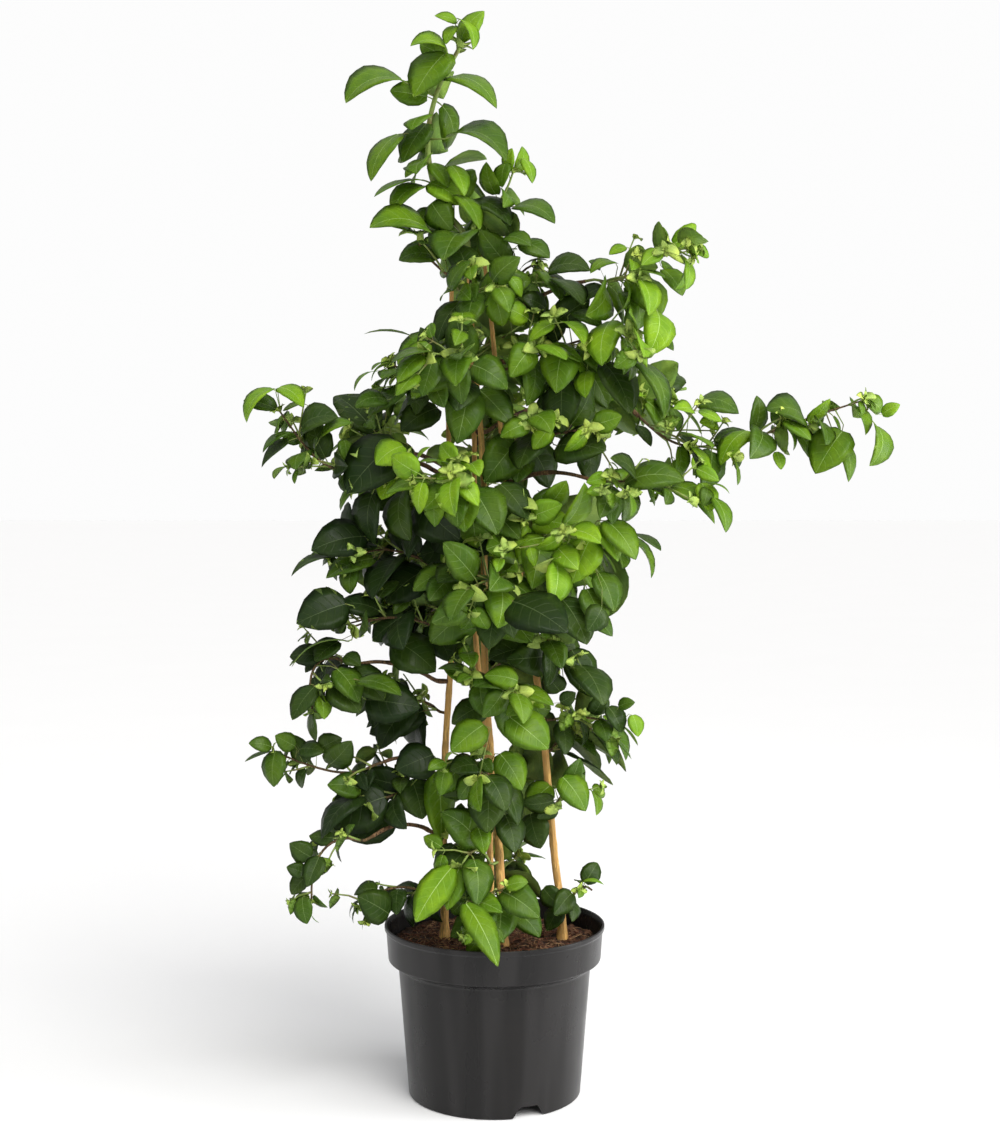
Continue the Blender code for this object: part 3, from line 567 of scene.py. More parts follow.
def pot_profile():
    """The wall's section from the boss's top, over the rim and down the outside to the boss."""
    shoulder = POT_HEIGHT - SHOULDER_DEPTH
    collar = POT_HEIGHT - COLLAR_DEPTH
    taper = (BODY_TOP_RADIUS - BASE_RADIUS) / shoulder
    floor = FOOT_HEIGHT + WALL
    foot_inner = BASE_RADIUS - FOOT_WIDTH
    lip = POT_HEIGHT - LIP_DEPTH
    return filleted([
        (BOSS_RADIUS - WALL, WALL, 0.0010),
        (BOSS_RADIUS + WALL, floor, 0.0010),
        (BASE_RADIUS + taper * floor - WALL, floor, 0.0020),
        (BODY_TOP_RADIUS - WALL, shoulder, 0.0020),
        (COLLAR_FOOT_RADIUS - WALL, collar + WALL, 0.0015),
        (COLLAR_RADIUS - WALL, lip, 0.0008),
        (RIM_RADIUS - WALL, POT_HEIGHT, 0.0006),
        (RIM_RADIUS, POT_HEIGHT, 0.0006),
        (RIM_RADIUS, lip, 0.0008),
        (COLLAR_RADIUS, lip - WALL, 0.0008),
        (COLLAR_FOOT_RADIUS, collar, 0.0012),
        (BODY_TOP_RADIUS, shoulder, 0.0030),
        (BASE_RADIUS + taper * 0.5 * shoulder, 0.5 * shoulder, 0.0300),
        (BASE_RADIUS, 0.0, 0.0008),
        (foot_inner, 0.0, 0.0008),
        (foot_inner, FOOT_HEIGHT, 0.0008),
        (BOSS_RADIUS + 2 * WALL, FOOT_HEIGHT, 0.0008),
        (BOSS_RADIUS, 0.0, 0.0008),
    ], 6)


def pot_columns():
    """The angles of the pot's columns: even ones, with more of them at the notches and seams."""
    even = np.arange(POT_COLUMNS) * math.tau / POT_COLUMNS
    slope = np.linspace(-1.0, 1.0, 7) * 0.75 * NOTCH_SLOPE_ANGLE
    middle = NOTCH_HALF_ANGLE - NOTCH_SLOPE_ANGLE / 2
    sides = np.concatenate([slope + middle, slope - middle])
    notches = NOTCH_TURN + np.arange(NOTCH_COUNT) * math.tau / NOTCH_COUNT
    seams = SEAM_TURN + np.array([0.0, math.pi])
    bead = np.linspace(-1.5, 1.5, 7) * SEAM_HALF_ANGLE
    extra = np.concatenate([(notches[:, None] + sides).ravel(), (seams[:, None] + bead).ravel()])
    return np.unique(np.round(np.concatenate([even, extra % math.tau]), 5))


def angle_from(turn, angles, count):
    """How far each angle is from the nearest of count even places round the circle."""
    step = math.tau / count
    return np.abs((angles - turn + step / 2) % step - step / 2)


def pot_surface(profile, angles):
    """The profile turned about +Z, with the foot notched and a seam bead on the outside.

    In a notch a height z under z1 = 2 * notch height becomes n + z (z1 - n) / z1, where n rises
    smoothly from 0 to the notch height over the notch's slope. On the outside the radius gains
    seam height * exp(-(angle from the seam / seam half angle)^2).
    """
    radius, height = profile[:, 0, None], profile[:, 1, None]
    off = angle_from(NOTCH_TURN, angles, NOTCH_COUNT)
    share = np.clip((NOTCH_HALF_ANGLE - off) / NOTCH_SLOPE_ANGLE, 0.0, 1.0)
    notch = NOTCH_HEIGHT * share**2 * (3 - 2 * share)
    span = np.where(radius < BASE_RADIUS - 0.5 * FOOT_WIDTH, FOOT_HEIGHT, 2 * NOTCH_HEIGHT)
    ring = (radius > BASE_RADIUS - 1.2 * FOOT_WIDTH) & (height < span)
    z = np.where(ring, notch + height * (span - notch) / span, height + 0 * notch)
    outside = np.arange(len(profile))[:, None] >= np.argmax(profile[:, 0])
    bead = SEAM_HEIGHT * np.exp(-((angle_from(SEAM_TURN, angles, 2) / SEAM_HALF_ANGLE) ** 2))
    wall = outside & (height > 0.002) & (height < POT_HEIGHT - LIP_DEPTH) & (radius > 0.08)
    r = radius + np.where(wall, bead, 0.0)
    return np.stack([r * np.cos(angles), r * np.sin(angles), z], axis=-1)


def make_pot(sizes):
    rings = pot_surface(pot_profile(), pot_columns())
    faces = ring_faces(*rings.shape[:2])
    piece = build_mesh("pot_shell", with_poles(rings[None]), *faces, [plastic_finish(sizes.plastic)])
    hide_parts("pot")


# ---- the compost ------------------------------------------------------------------------------
SOIL_TOP = SOIL_BOX[1][2]
SOIL_RADIUS = COLLAR_FOOT_RADIUS - WALL - GAP
SOIL_FLOOR = FOOT_HEIGHT + WALL + 2 * GAP
SOIL_RINGS = 60
SOIL_SIDES = 150
SOIL_ROUGHNESS = 0.0042
SOIL_SEED = 7
CHIPS = 520
CHIP_SEED = 13
CHIP_STATIONS = np.array([-0.5, -0.32, 0.05, 0.36, 0.5])
CHIP_SWELL = np.array([0.35, 0.85, 1.0, 0.80, 0.30])[None, :, None]

# name: how many, their shortest and longest, their radius, their highest arch, and their seed
STRANDS = {
    "coir_strands": (330, (0.008, 0.030), 0.00028, 0.0035, 11),
    "root_strands": (520, (0.006, 0.024), 0.00036, 0.0028, 12),
}


def soil_height(x, y):
    """The compost's top: plane waves of many sizes, pulled down to the wall near the rim."""
    rng = np.random.default_rng(SOIL_SEED)
    broad = waves(x, y, rng, 10, 0.070, 0.010)
    fine = np.abs(waves(x, y, rng, 14, 0.014, 0.0035))
    near = np.clip(np.hypot(x, y) / SOIL_RADIUS, 0.0, 1.0)
    return SOIL_TOP - 0.0010 + SOIL_ROUGHNESS * (0.9 * broad + 1.1 * fine) - 0.0030 * near**8


def make_soil(sizes):
    """A rough top over a body that fills the pot a gap clear of its wall."""
    angles = np.arange(SOIL_SIDES) * math.tau / SOIL_SIDES
    radius = SOIL_RADIUS * np.linspace(0.004, 1.0, SOIL_RINGS)[:, None]
    x, y = radius * np.cos(angles), radius * np.sin(angles)
    top = np.stack([x, y, soil_height(x, y)], axis=-1)
    r, z = np.array([
        (SOIL_RADIUS - 0.001, POT_HEIGHT - COLLAR_DEPTH + WALL),
        (BODY_TOP_RADIUS - WALL - GAP, POT_HEIGHT - SHOULDER_DEPTH),
        (BASE_RADIUS - WALL - GAP, SOIL_FLOOR),
        (0.5 * BASE_RADIUS, SOIL_FLOOR),
        (0.01, SOIL_FLOOR),
    ]).T[:, :, None]
    wall = np.stack([r * np.cos(angles), r * np.sin(angles), z + 0 * angles], axis=-1)
    rings = np.concatenate([top, wall])
    faces = [face[:, ::-1] for face in ring_faces(len(rings), SOIL_SIDES)]
    piece = build_mesh("compost_top", with_poles(rings[None]), *faces, [compost_finish(sizes.peat)])
    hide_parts("soil")


def strewn(rng, count, longest):
    """Random spots on the compost, evenly spread over its area and clear of the wall."""
    radius = (SOIL_RADIUS - 0.5 * longest) * np.sqrt(rng.uniform(0.0, 1.0, count))
    turn = rng.uniform(0.0, math.tau, count)
    return radius * np.cos(turn), radius * np.sin(turn)


def make_strands(name, colour):
    """Loose coir strands: each lies on the compost along a level curve and arches up between.

    At share s from -0.5 to 0.5 a strand is s * length along its heading, bow * (1 - 4 s^2) to
    its side and the compost's height there plus arch * (1 - 4 s^2) up.
    """
    count, lengths, radius, arch, seed = STRANDS[name]
    rng = np.random.default_rng(seed)
    length = rng.uniform(*lengths, count)[:, None]
    x0, y0 = strewn(rng, count, lengths[1])
    turn = rng.uniform(0.0, math.tau, count)[:, None]
    bow = length * rng.uniform(-0.30, 0.30, count)[:, None]
    lift = arch * rng.uniform(0.1, 1.0, count)[:, None]
    s = np.linspace(-0.5, 0.5, 7)
    crown = 1 - 4 * s**2
    x = x0[:, None] + length * s * np.cos(turn) - bow * crown * np.sin(turn)
    y = y0[:, None] + length * s * np.sin(turn) + bow * crown * np.cos(turn)
    paths = np.stack([x, y, soil_height(x, y) + radius + lift * crown], axis=-1)
    radii = radius * rng.uniform(0.6, 1.3, count)[:, None] * (0.45 + 0.55 * crown)
    piece = tube_piece(name, list(zip(paths, radii)), 4, strand_finish(name, colour))


def make_chips(colour):
    """Bark chips: short five-sided lumps of uneven radius, half sunk in the compost."""
    rng = np.random.default_rng(CHIP_SEED)
    length = rng.uniform(0.0030, 0.0095, CHIPS)[:, None, None]
    x, y = strewn(rng, CHIPS, 0.010)
    turn, tilt = rng.uniform(0.0, math.tau, CHIPS), rng.uniform(-0.5, 0.5, CHIPS)
    level = np.cos(tilt)
    heading = np.stack([np.cos(turn) * level, np.sin(turn) * level, np.sin(tilt)], -1)
    middle = np.stack([x, y, soil_height(x, y) + 0.0004], axis=-1)
    paths = middle[:, None] + length * CHIP_STATIONS[:, None] * heading[:, None]
    radii = length * 0.22 * CHIP_SWELL * rng.uniform(0.55, 1.3, (CHIPS, len(CHIP_STATIONS), 5))
    piece = tube_piece("bark_chips", list(zip(paths, radii)), 5, strand_finish("bark_chips", colour))
    piece.data.shade_flat()


# ---- stems and boughs -------------------------------------------------------------------------
LIMB_SLIMNESS = 0.80
STEM_SIDES = 22
STEM_GROOVE_DARKENING = 0.45
STEM_RIDGES = 0.45
BOUGH_SIDES = 14
BARK_STEP = 0.0026
SUNK = 0.006
RIDGE_SHARE = 0.13
KNOT_STEP = 0.055
KNOT_SWELL = 0.22
KNOT_REACH = 0.004


def stem_path(foot, top, wander, phase):
    """From a flat foot up the line to its top, with a slow helix that dies out at both ends."""
    start = np.array([*foot, SOIL_TOP + GAP])
    t = np.linspace(0.0, 1.0, STEM_POINTS)[:, None]
    line = start + (0, 0, FLARE_HEIGHT) + t * (np.array(top) - start - (0, 0, FLARE_HEIGHT))
    turn = phase + HELIX_TURN * t
    helix = wander * np.sin(math.pi * t) * np.hstack([np.cos(turn), np.sin(turn), 0 * t])
    return np.vstack([start, line + helix])


def stem_radii(path, foot_radius, top_radius):
    """An even taper with the root flare on the lowest point."""
    share = (path[:, 2] - path[0, 2]) / (path[-1, 2] - path[0, 2])
    radii = foot_radius + share * (top_radius - foot_radius)
    radii[0] *= 1 + FLARE_GAIN
    return radii


def place_on(limb, height):
    """The point, direction and radius of a limb at a height, or at its tip."""
    path, radii = limb
    if height is None:
        return path[-1], unit(path[-1] - path[-2]), radii[-1]
    after = int(np.searchsorted(path[:, 2], height))
    share = (height - path[after - 1, 2]) / (path[after, 2] - path[after - 1, 2])
    point = path[after - 1] + share * (path[after] - path[after - 1])
    radius = radii[after - 1] + share * (radii[after] - radii[after - 1])
    return point, unit(path[after] - path[after - 1]), radius


def leave_limb(limb, height, tip):
    """Where a shoot starts, a gap clear of its limb, and the direction it sets out in."""
    point, direction, radius = place_on(limb, height)
    if height is None:
        return point + GAP * direction, direction
    heading = across(direction, np.array([tip[0] - point[0], tip[1] - point[1], 0.0]))
    return point + (radius + GAP) * heading, heading


def shoot_path(limb, height, tip, bow):
    """A curve that sets out square from its limb and bends by bow on its way to the tip."""
    tip = np.array(tip)
    start, heading = leave_limb(limb, height, tip)
    straight = start + FIRST_NODE / 2 * heading
    span = np.linalg.norm(tip - straight)
    second = straight + 0.3 * span * heading + np.array(bow)
    third = tip + 0.35 * (straight - tip) + np.array(bow)
    return np.vstack([start, bezier(straight, second, third, tip, SHOOT_POINTS)])


def spine_path(limbs, mass):
    """The stem of a leafy shoot, which stops one last leaf short of the shoot's tip."""
    limb = limbs[mass.limb]
    start = leave_limb(limb, mass.height, mass.tip)[0]
    end = mass.tip - LAST_LEAF * mass.leaf * unit(mass.tip - start)
    return shoot_path(limb, mass.height, end, mass.bow)


def plan_limbs():
    """The path and radii of every stem and bough, by name."""
    limbs = {}
    for name, (foot, top, foot_radius, top_radius, wander, phase) in STEMS.items():
        path = stem_path(foot, top, wander, phase)
        limbs[name] = (path, stem_radii(path, foot_radius, top_radius))
    for name, (stem, height, tip, rise, start_radius, tip_radius) in BOUGHS.items():
        path = shoot_path(limbs[stem], height, tip, (0, 0, rise))
        limbs[name] = (path, np.linspace(start_radius, tip_radius, len(path)))
    return limbs


def bark_radii(run, radii, sides, rng, ridged):
    """A limb's radii with bark on: (ring, side) numbers.

    The radius is its taper times 1 plus ridges, which are waves round the limb that wander as
    they climb, plus swollen knots every KNOT_STEP, each exp(-(distance / KNOT_REACH)^2).
    """
    angle = np.arange(sides) * math.tau / sides
    climb = run[:, None]
    ridges = np.zeros((len(run), sides))
    for count in (2, 3, 5, 7):
        phase, lean = rng.uniform(0.0, math.tau), rng.uniform(-25.0, 25.0)
        sway = 1.4 * np.sin(climb * rng.uniform(60.0, 140.0) + phase)
        ridges += np.sin(count * angle + lean * climb + sway + phase) / math.sqrt(count)
    grain = rng.uniform(-1.0, 1.0, ridges.shape)
    off = (climb + rng.uniform(0, KNOT_STEP)) % KNOT_STEP - KNOT_STEP / 2
    knots = KNOT_SWELL * np.exp(-((off / KNOT_REACH) ** 2))
    return radii[:, None] * (1.0 + ridged * (RIDGE_SHARE * (0.45 * ridges + 0.35 * grain) + knots))


def rooted(path, radii, depth):
    """The path with its start carried back by depth, so that it is sunk in what bears it."""
    back = path[0] - depth * unit(path[1] - path[0])
    return np.vstack([back, path]), np.concatenate([radii[:1], radii])


def make_limbs(sizes):
    """Every stem and bough in its bark, its start sunk in the compost or in the stem that bears it."""
    limbs = plan_limbs()
    stem_bark = bark_finish("stem_bark", sizes.stem, 0.0005, STEM_GROOVE_DARKENING)
    bough_bark = bark_finish("bough_bark", sizes.bough, 0.0006)
    for seed, (name, limb) in enumerate(limbs.items()):
        depth, sides, bark, ridged = SUNK, STEM_SIDES, stem_bark, STEM_RIDGES
        if name in BOUGHS:
            bearer, height = BOUGHS[name][:2]
            depth, sides, bark, ridged = place_on(limbs[bearer], height)[2], BOUGH_SIDES, bough_bark, 1.0
        path, radii = resampled(*rooted(*limb, depth), BARK_STEP)
        run = np.arange(len(path)) * BARK_STEP
        skin = LIMB_SLIMNESS * bark_radii(run, radii, sides, np.random.default_rng(seed), ridged)
        piece = tube_piece(f"{name}_bark", [(path, skin)], sides, bark)
        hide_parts(name)


# ---- the front view ---------------------------------------------------------------------------
CAMERA_PLACE = (0.0055, -1.7, 0.6043)
CAMERA_PITCH = math.radians(-2.746)
SENSOR = 36.0
LENS = 54.16
VIEW_WIDE = 1000
VIEW_HIGH = 1140


def seen_at(across, down, depth):
    """The point at y = depth that the camera sees so many steps across and down its view.

    With f = VIEW_HIGH * lens / sensor, the ray is forward + ((across - wide / 2) / f) right -
    ((down - high / 2) / f) up, and forward and up are pitched.
    """
    focus = VIEW_HIGH * LENS / SENSOR
    right, rise = (across - VIEW_WIDE / 2) / focus, (VIEW_HIGH / 2 - down) / focus
    level, steep = math.cos(CAMERA_PITCH), math.sin(CAMERA_PITCH)
    ray = np.array([right, level - steep * rise, steep + level * rise])
    return CAMERA_PLACE + ray * (depth - CAMERA_PLACE[1]) / ray[1]


# ---- leaves that stand out ---------------------------------------------------------------------
# By mass, one row a leaf: its share of the stem in hundredths, where the front view shows its foot
# and its tip (across, down and across, down, in steps of the view), its bend in tenths of a radian,
# how far it faces the front and its half width as a share of its length, both in hundredths, and
# its tone in tenths, 0 for deep to 40 for bright
CHOSEN_UNITS = np.array((100, 1, 1, 1, 1, 10, 100, 100, 10))
CHOSEN = {
    "leader": (
        (75, 404, 84, 349, 110, 17, 42, 38, 36), (93, 446, 54, 416, 102, 7, 80, 42, 30),
        (90, 446, 50, 411, 50, 16, 40, 40, 40), (85, 446, 79, 497, 113, 16, 42, 38, 36),
        (100, 459, 22, 472, 54, 18, 30, 30, 36), (100, 457, 24, 435, 20, 9, 50, 36, 44),
        (100, 455, 28, 447, 48, 9, 60, 36, 38), (62, 427, 124, 405, 166, 7, 70, 36, 22),
        (55, 400, 136, 375, 186, 13, 45, 32, 30), (45, 425, 162, 406, 180, 9, 60, 40, 40),
        (35, 430, 183, 464, 209, 9, 70, 40, 36), (30, 458, 197, 479, 235, 12, 50, 30, 28),
        (33, 424, 187, 394, 216, 16, 45, 34, 30), (8, 432, 236, 373, 235, 16, 45, 34, 28),
        (55, 452, 138, 507, 166, 19, 42, 40, 22), (22, 452, 168, 466, 200, 10, 60, 34, 40),
        (40, 432, 164, 448, 190, 10, 60, 40, 28), (5, 432, 205, 452, 235, 9, 60, 42, 18),
        (15, 436, 214, 410, 226, 12, 50, 40, 26), (28, 446, 190, 462, 178, 11, 50, 40, 34),
    ),
    "top_left": (
        (50, 436, 257, 399, 261, 15, 45, 40, 16),
    ),
    "top_right": (
        (45, 472, 202, 512, 229, 14, 40, 36, 14), (60, 514, 208, 554, 227, 16, 42, 40, 24),
        (90, 505, 165, 502, 190, 9, 60, 40, 34), (100, 524, 160, 532, 186, 11, 50, 34, 36),
        (20, 482, 236, 500, 205, 10, 50, 40, 24), (50, 496, 196, 486, 166, 10, 50, 36, 32),
        (100, 508, 172, 512, 150, 10, 50, 40, 40),
    ),
    "neck_right": (
        (50, 508, 266, 480, 232, 10, 50, 32, 18), (90, 540, 272, 560, 305, 12, 50, 34, 22),
        (60, 520, 270, 548, 262, 13, 20, 30, 18), (100, 548, 272, 590, 272, 16, 45, 36, 16),
        (30, 505, 262, 500, 300, 9, 70, 36, 18), (100, 556, 282, 580, 312, 10, 60, 38, 8),
        (50, 520, 244, 548, 262, 12, 60, 40, 20), (40, 505, 240, 530, 252, 11, 60, 40, 14),
    ),
    "upper_right": (
        (60, 640, 279, 658, 319, 6, 80, 46, 32), (85, 663, 270, 680, 298, 8, 60, 42, 34),
        (95, 665, 245, 662, 228, 9, 60, 34, 36), (100, 690, 240, 686, 256, 8, 60, 34, 44),
        (50, 655, 314, 643, 358, 17, 50, 34, 40), (20, 600, 270, 588, 262, 12, 30, 34, 20),
        (30, 615, 264, 588, 276, 16, 45, 36, 26), (10, 604, 288, 578, 304, 11, 50, 36, 12),
        (40, 622, 292, 632, 326, 12, 50, 34, 26),
    ),
    "mid_right": (
        (98, 634, 361, 661, 420, 16, 30, 30, 24), (85, 610, 322, 596, 370, 11, 60, 32, 41),
        (80, 604, 364, 627, 416, 9, 60, 38, 10), (55, 562, 382, 564, 434, 7, 80, 38, 6),
        (60, 572, 312, 600, 330, 11, 50, 36, 20), (40, 556, 310, 540, 338, 9, 60, 38, 16),
        (70, 586, 372, 583, 400, 9, 60, 38, 36), (50, 556, 322, 590, 300, 10, 50, 38, 10),
        (30, 540, 340, 565, 318, 10, 50, 38, 14), (20, 545, 310, 520, 300, 11, 50, 40, 12),
        (90, 655, 340, 672, 352, 12, 50, 40, 20), (10, 520, 312, 545, 330, 10, 60, 40, 14),
    ),
    "right_inner": (
        (50, 556, 446, 603, 453, 9, 80, 42, 5), (90, 585, 440, 592, 482, 8, 70, 38, 8),
        (30, 540, 430, 520, 470, 8, 70, 40, 10), (5, 530, 446, 550, 488, 8, 70, 42, 8),
    ),
    "long_right": (
        (22, 696, 402, 736, 414, 16, 45, 44, 24), (75, 804, 422, 762, 412, 18, 45, 44, 22),
        (88, 841, 431, 811, 474, 6, 90, 42, 30), (84, 838, 440, 848, 482, 13, 45, 30, 30),
        (100, 874, 426, 866, 467, 19, 20, 34, 32), (50, 747, 431, 718, 466, 14, 50, 30, 40),
        (35, 714, 438, 720, 478, 11, 30, 22, 6), (20, 678, 434, 697, 459, 8, 40, 26, 6),
        (3, 637, 426, 650, 447, 8, 50, 36, 12), (60, 775, 452, 779, 470, 7, 70, 40, 38),
        (100, 880, 415, 897, 405, 12, 40, 34, 44), (10, 672, 410, 676, 432, 9, 60, 40, 22),
        (62, 774, 424, 790, 398, 13, 40, 38, 18),
    ),
    "right": (
        (25, 624, 484, 683, 482, 15, 45, 30, 24), (15, 635, 478, 608, 458, 13, 30, 40, 8),
        (100, 701, 483, 708, 512, 8, 70, 42, 38), (100, 713, 498, 722, 532, 11, 40, 34, 30),
        (100, 710, 484, 728, 494, 12, 20, 30, 26), (100, 706, 488, 700, 506, 9, 70, 40, 20),
    ),
    "left_upper": (
        (98, 274, 389, 251, 424, 18, 40, 34, 40), (78, 291, 432, 264, 453, 14, 30, 32, 24),
        (97, 280, 388, 306, 408, 15, 45, 38, 36), (65, 302, 428, 340, 418, 17, 42, 44, 16),
        (50, 322, 436, 354, 424, 15, 30, 32, 30), (25, 345, 440, 348, 462, 8, 60, 42, 22),
    ),
    "left_mid": (
        (85, 388, 401, 356, 408, 17, 45, 40, 20), (100, 375, 372, 356, 392, 16, 20, 30, 32),
        (25, 444, 342, 399, 367, 12, 50, 36, 26), (70, 410, 336, 366, 336, 8, 10, 16, 6),
        (45, 424, 378, 416, 416, 8, 70, 40, 8), (30, 438, 408, 402, 432, 9, 70, 42, 8),
        (10, 446, 380, 470, 412, 10, 60, 40, 16),
    ),
    "centre_left": (
        (60, 398, 441, 348, 493, 6, 90, 42, 1), (55, 400, 470, 384, 500, 7, 80, 40, 36),
        (95, 404, 446, 376, 464, 10, 70, 50, 37),
    ),
    "left_middle": (
        (90, 366, 536, 313, 549, 9, 70, 38, 4), (100, 333, 556, 294, 576, 13, 30, 24, 6),
        (80, 374, 558, 328, 578, 9, 50, 34, 24), (35, 425, 570, 385, 600, 8, 80, 44, 3),
    ),
    "front_middle": (
        (8, 470, 545, 418, 555, 7, 90, 44, 2), (100, 512, 600, 566, 628, 7, 80, 40, 4),
        (90, 498, 605, 490, 648, 7, 80, 42, 6),
    ),
    "front_right": (
        (12, 519, 538, 492, 580, 6, 90, 40, 33), (98, 590, 538, 573, 584, 6, 90, 42, 36),
        (35, 532, 525, 573, 527, 13, 50, 38, 38), (95, 600, 524, 617, 561, 10, 60, 34, 39),
        (90, 598, 572, 612, 610, 9, 70, 40, 26), (70, 578, 611, 611, 633, 10, 50, 34, 20),
        (60, 538, 560, 566, 603, 9, 60, 30, 10), (50, 548, 505, 565, 480, 12, 50, 38, 30),
        (25, 536, 516, 558, 486, 10, 50, 42, 22), (95, 586, 588, 600, 628, 8, 70, 40, 14),
        (80, 560, 596, 584, 640, 8, 70, 42, 8), (100, 600, 605, 585, 628, 9, 80, 44, 12),
        (95, 605, 520, 632, 560, 10, 60, 36, 34),
    ),
    "left_lower": (
        (90, 347, 603, 299, 622, 6, 90, 46, 3), (100, 349, 641, 294, 665, 14, 10, 22, 6),
        (50, 405, 615, 372, 640, 7, 80, 44, 4), (20, 430, 625, 452, 660, 7, 80, 42, 4),
        (40, 395, 640, 438, 668, 9, 80, 44, 6), (10, 440, 650, 470, 645, 9, 70, 44, 6),
        (70, 340, 640, 318, 660, 9, 60, 44, 12),
    ),
    "right_lower": (
        (50, 560, 632, 570, 668, 7, 80, 42, 8), (100, 584, 690, 602, 677, 10, 50, 38, 18),
        (90, 572, 650, 590, 690, 8, 70, 40, 14), (100, 580, 664, 600, 700, 9, 60, 42, 10),
        (60, 560, 690, 545, 668, 9, 80, 44, 10),
    ),
    "left_hanging": (
        (20, 366, 699, 421, 708, 9, 80, 40, 3), (72, 315, 686, 295, 719, 8, 60, 40, 14),
        (50, 338, 668, 362, 700, 9, 60, 42, 16), (35, 360, 678, 405, 690, 9, 40, 30, 14),
        (85, 322, 695, 324, 718, 7, 70, 40, 26), (10, 352, 668, 384, 700, 8, 80, 40, 8),
        (30, 345, 655, 362, 664, 9, 60, 50, 12), (45, 332, 684, 362, 710, 9, 70, 44, 10),
    ),
    "left_long": (
        (100, 272, 746, 250, 742, 11, 50, 36, 22), (97, 276, 750, 274, 785, 8, 70, 42, 18),
        (80, 296, 745, 276, 735, 10, 60, 42, 24), (72, 300, 748, 326, 750, 11, 50, 42, 14),
        (30, 362, 788, 329, 780, 12, 50, 40, 20), (50, 330, 764, 352, 738, 12, 50, 40, 10),
        (60, 320, 748, 342, 736, 10, 50, 44, 12),
    ),
    "left_broad": (
        (85, 386, 796, 326, 820, 7, 90, 42, 2), (60, 396, 812, 346, 842, 6, 90, 36, 2),
        (50, 434, 752, 398, 768, 6, 90, 50, 3), (30, 412, 778, 424, 816, 6, 90, 50, 4),
        (5, 437, 770, 441, 838, 7, 80, 24, 36),
    ),
    "front_foot": (
        (100, 452, 866, 418, 918, 8, 80, 28, 36), (50, 462, 852, 440, 880, 8, 70, 40, 14),
    ),
    "rim_front": (
        (70, 466, 898, 498, 950, 9, 90, 21, 34), (30, 465, 895, 504, 899, 10, 60, 30, 26),
    ),
    "front_low": (
        (90, 484, 722, 452, 748, 7, 90, 42, 32), (40, 500, 752, 524, 786, 7, 80, 42, 28),
        (10, 505, 812, 516, 848, 8, 70, 44, 8),
    ),
    "centre_lower": (
        (95, 510, 716, 546, 748, 7, 90, 44, 32), (60, 518, 680, 484, 672, 11, 60, 34, 35),
        (80, 530, 700, 506, 712, 9, 70, 42, 32), (30, 560, 700, 575, 690, 10, 60, 40, 12),
        (5, 486, 704, 452, 722, 9, 70, 40, 8),
    ),
    "right_low": (
        (30, 550, 784, 526, 806, 7, 90, 44, 32), (100, 562, 775, 586, 807, 8, 80, 40, 33),
        (10, 530, 812, 540, 845, 7, 80, 46, 10),
    ),
    "right_small": (
        (100, 632, 714, 637, 735, 8, 70, 42, 38), (85, 608, 706, 621, 731, 8, 60, 40, 14),
        (60, 592, 714, 604, 690, 10, 50, 42, 12), (95, 618, 706, 634, 700, 11, 40, 40, 24),
    ),
    "left_low": (
        (55, 312, 856, 290, 842, 10, 60, 42, 12), (65, 306, 872, 288, 864, 10, 50, 40, 14),
        (100, 303, 896, 309, 921, 8, 70, 40, 18),
    ),
    "rim_left": (
        (80, 390, 912, 358, 893, 17, 42, 40, 14),
    ),
    "rim_right": (
        (20, 560, 906, 547, 928, 8, 80, 42, 12), (10, 543, 886, 561, 903, 9, 70, 42, 8),
        (90, 583, 880, 603, 883, 12, 20, 26, 40),
    ),
    "centre_front": (
        (30, 500, 484, 526, 520, 9, 70, 42, 14),
    ),
    "neck_front": (
        (80, 450, 290, 470, 262, 11, 50, 40, 18),
    ),
}

# Where the sky shows through the crown, from front to back: centre (x, z) and half sizes in mm
OPENINGS = (
    (-94, 798, 42, 40), (-44, 386, 22, 34), (-74, 418, 18, 12), (-94, 243, 34, 30), (140, 645, 32, 12),
    (-20, 996, 15, 22), (111, 257, 26, 26), (-193, 292, 26, 18), (160, 878, 18, 20), (168, 572, 34, 16),
    (-171, 598, 22, 22), (-148, 453, 24, 8), (95, 637, 10, 10), (116, 851, 12, 12), (66, 832, 18, 10),
    (202, 806, 10, 18), (78, 278, 14, 22), (-126, 258, 22, 10), (-146, 228, 18, 12),
    (-160, 315, 20, 10), (332, 704, 20, 14), (262, 622, 24, 10), (-190, 414, 8, 8), (100, 200, 14, 10),
)
OPENING_PLACES, OPENING_SIZES = np.split(np.array(OPENINGS) / 1000, 2, axis=1)

# ---- leaves -----------------------------------------------------------------------------------
LEAF_MAP = "LeafMap"
BAKE_MAP = "OFBake"
VEIN_COUNT = 6.5
VEIN_SWEEP = 0.20
WIDEST = 0.39
BASE_POWER = 0.56
TIP_POWER = 0.86
SLANT = 0.05
HEART = 0.050
HEART_REACH = 0.075
TEETH = 0.020
RIB_BASE = 0.0070
RIB_TIP = 0.0016
RIB_SUNK = 0.005
BLADE_THICKNESS = 0.009
PUCKER = 0.006
STALK_RADIUS = 0.0009
STALK_SWELL = np.array([1.25, 0.9, 0.8, 0.6])
STALK_SIDES = 4

# tone: how far its veins show, its roughness, how pale its midrib is, and its slot
TONES = {
    "deep": (0.07, 0.36, 0.10, "leaf_dark"),
    "dark": (0.10, 0.33, 0.16, "leaf_dark"),
    "mid": (0.13, 0.31, 0.28, "leaf_green"),
    "fresh": (0.16, 0.31, 0.42, "leaf_green"),
    "bright": (0.19, 0.33, 0.55, "leaf_bright"),
    "lime": (0.22, 0.42, 0.55, "leaf_bright"),
}
TONE_NAMES = tuple(TONES)
PALE_VEIN = (0.42, 0.52, 0.22)
PALE_RIB = (0.52, 0.62, 0.30)
PALE_UNDER = (0.22, 0.33, 0.08)


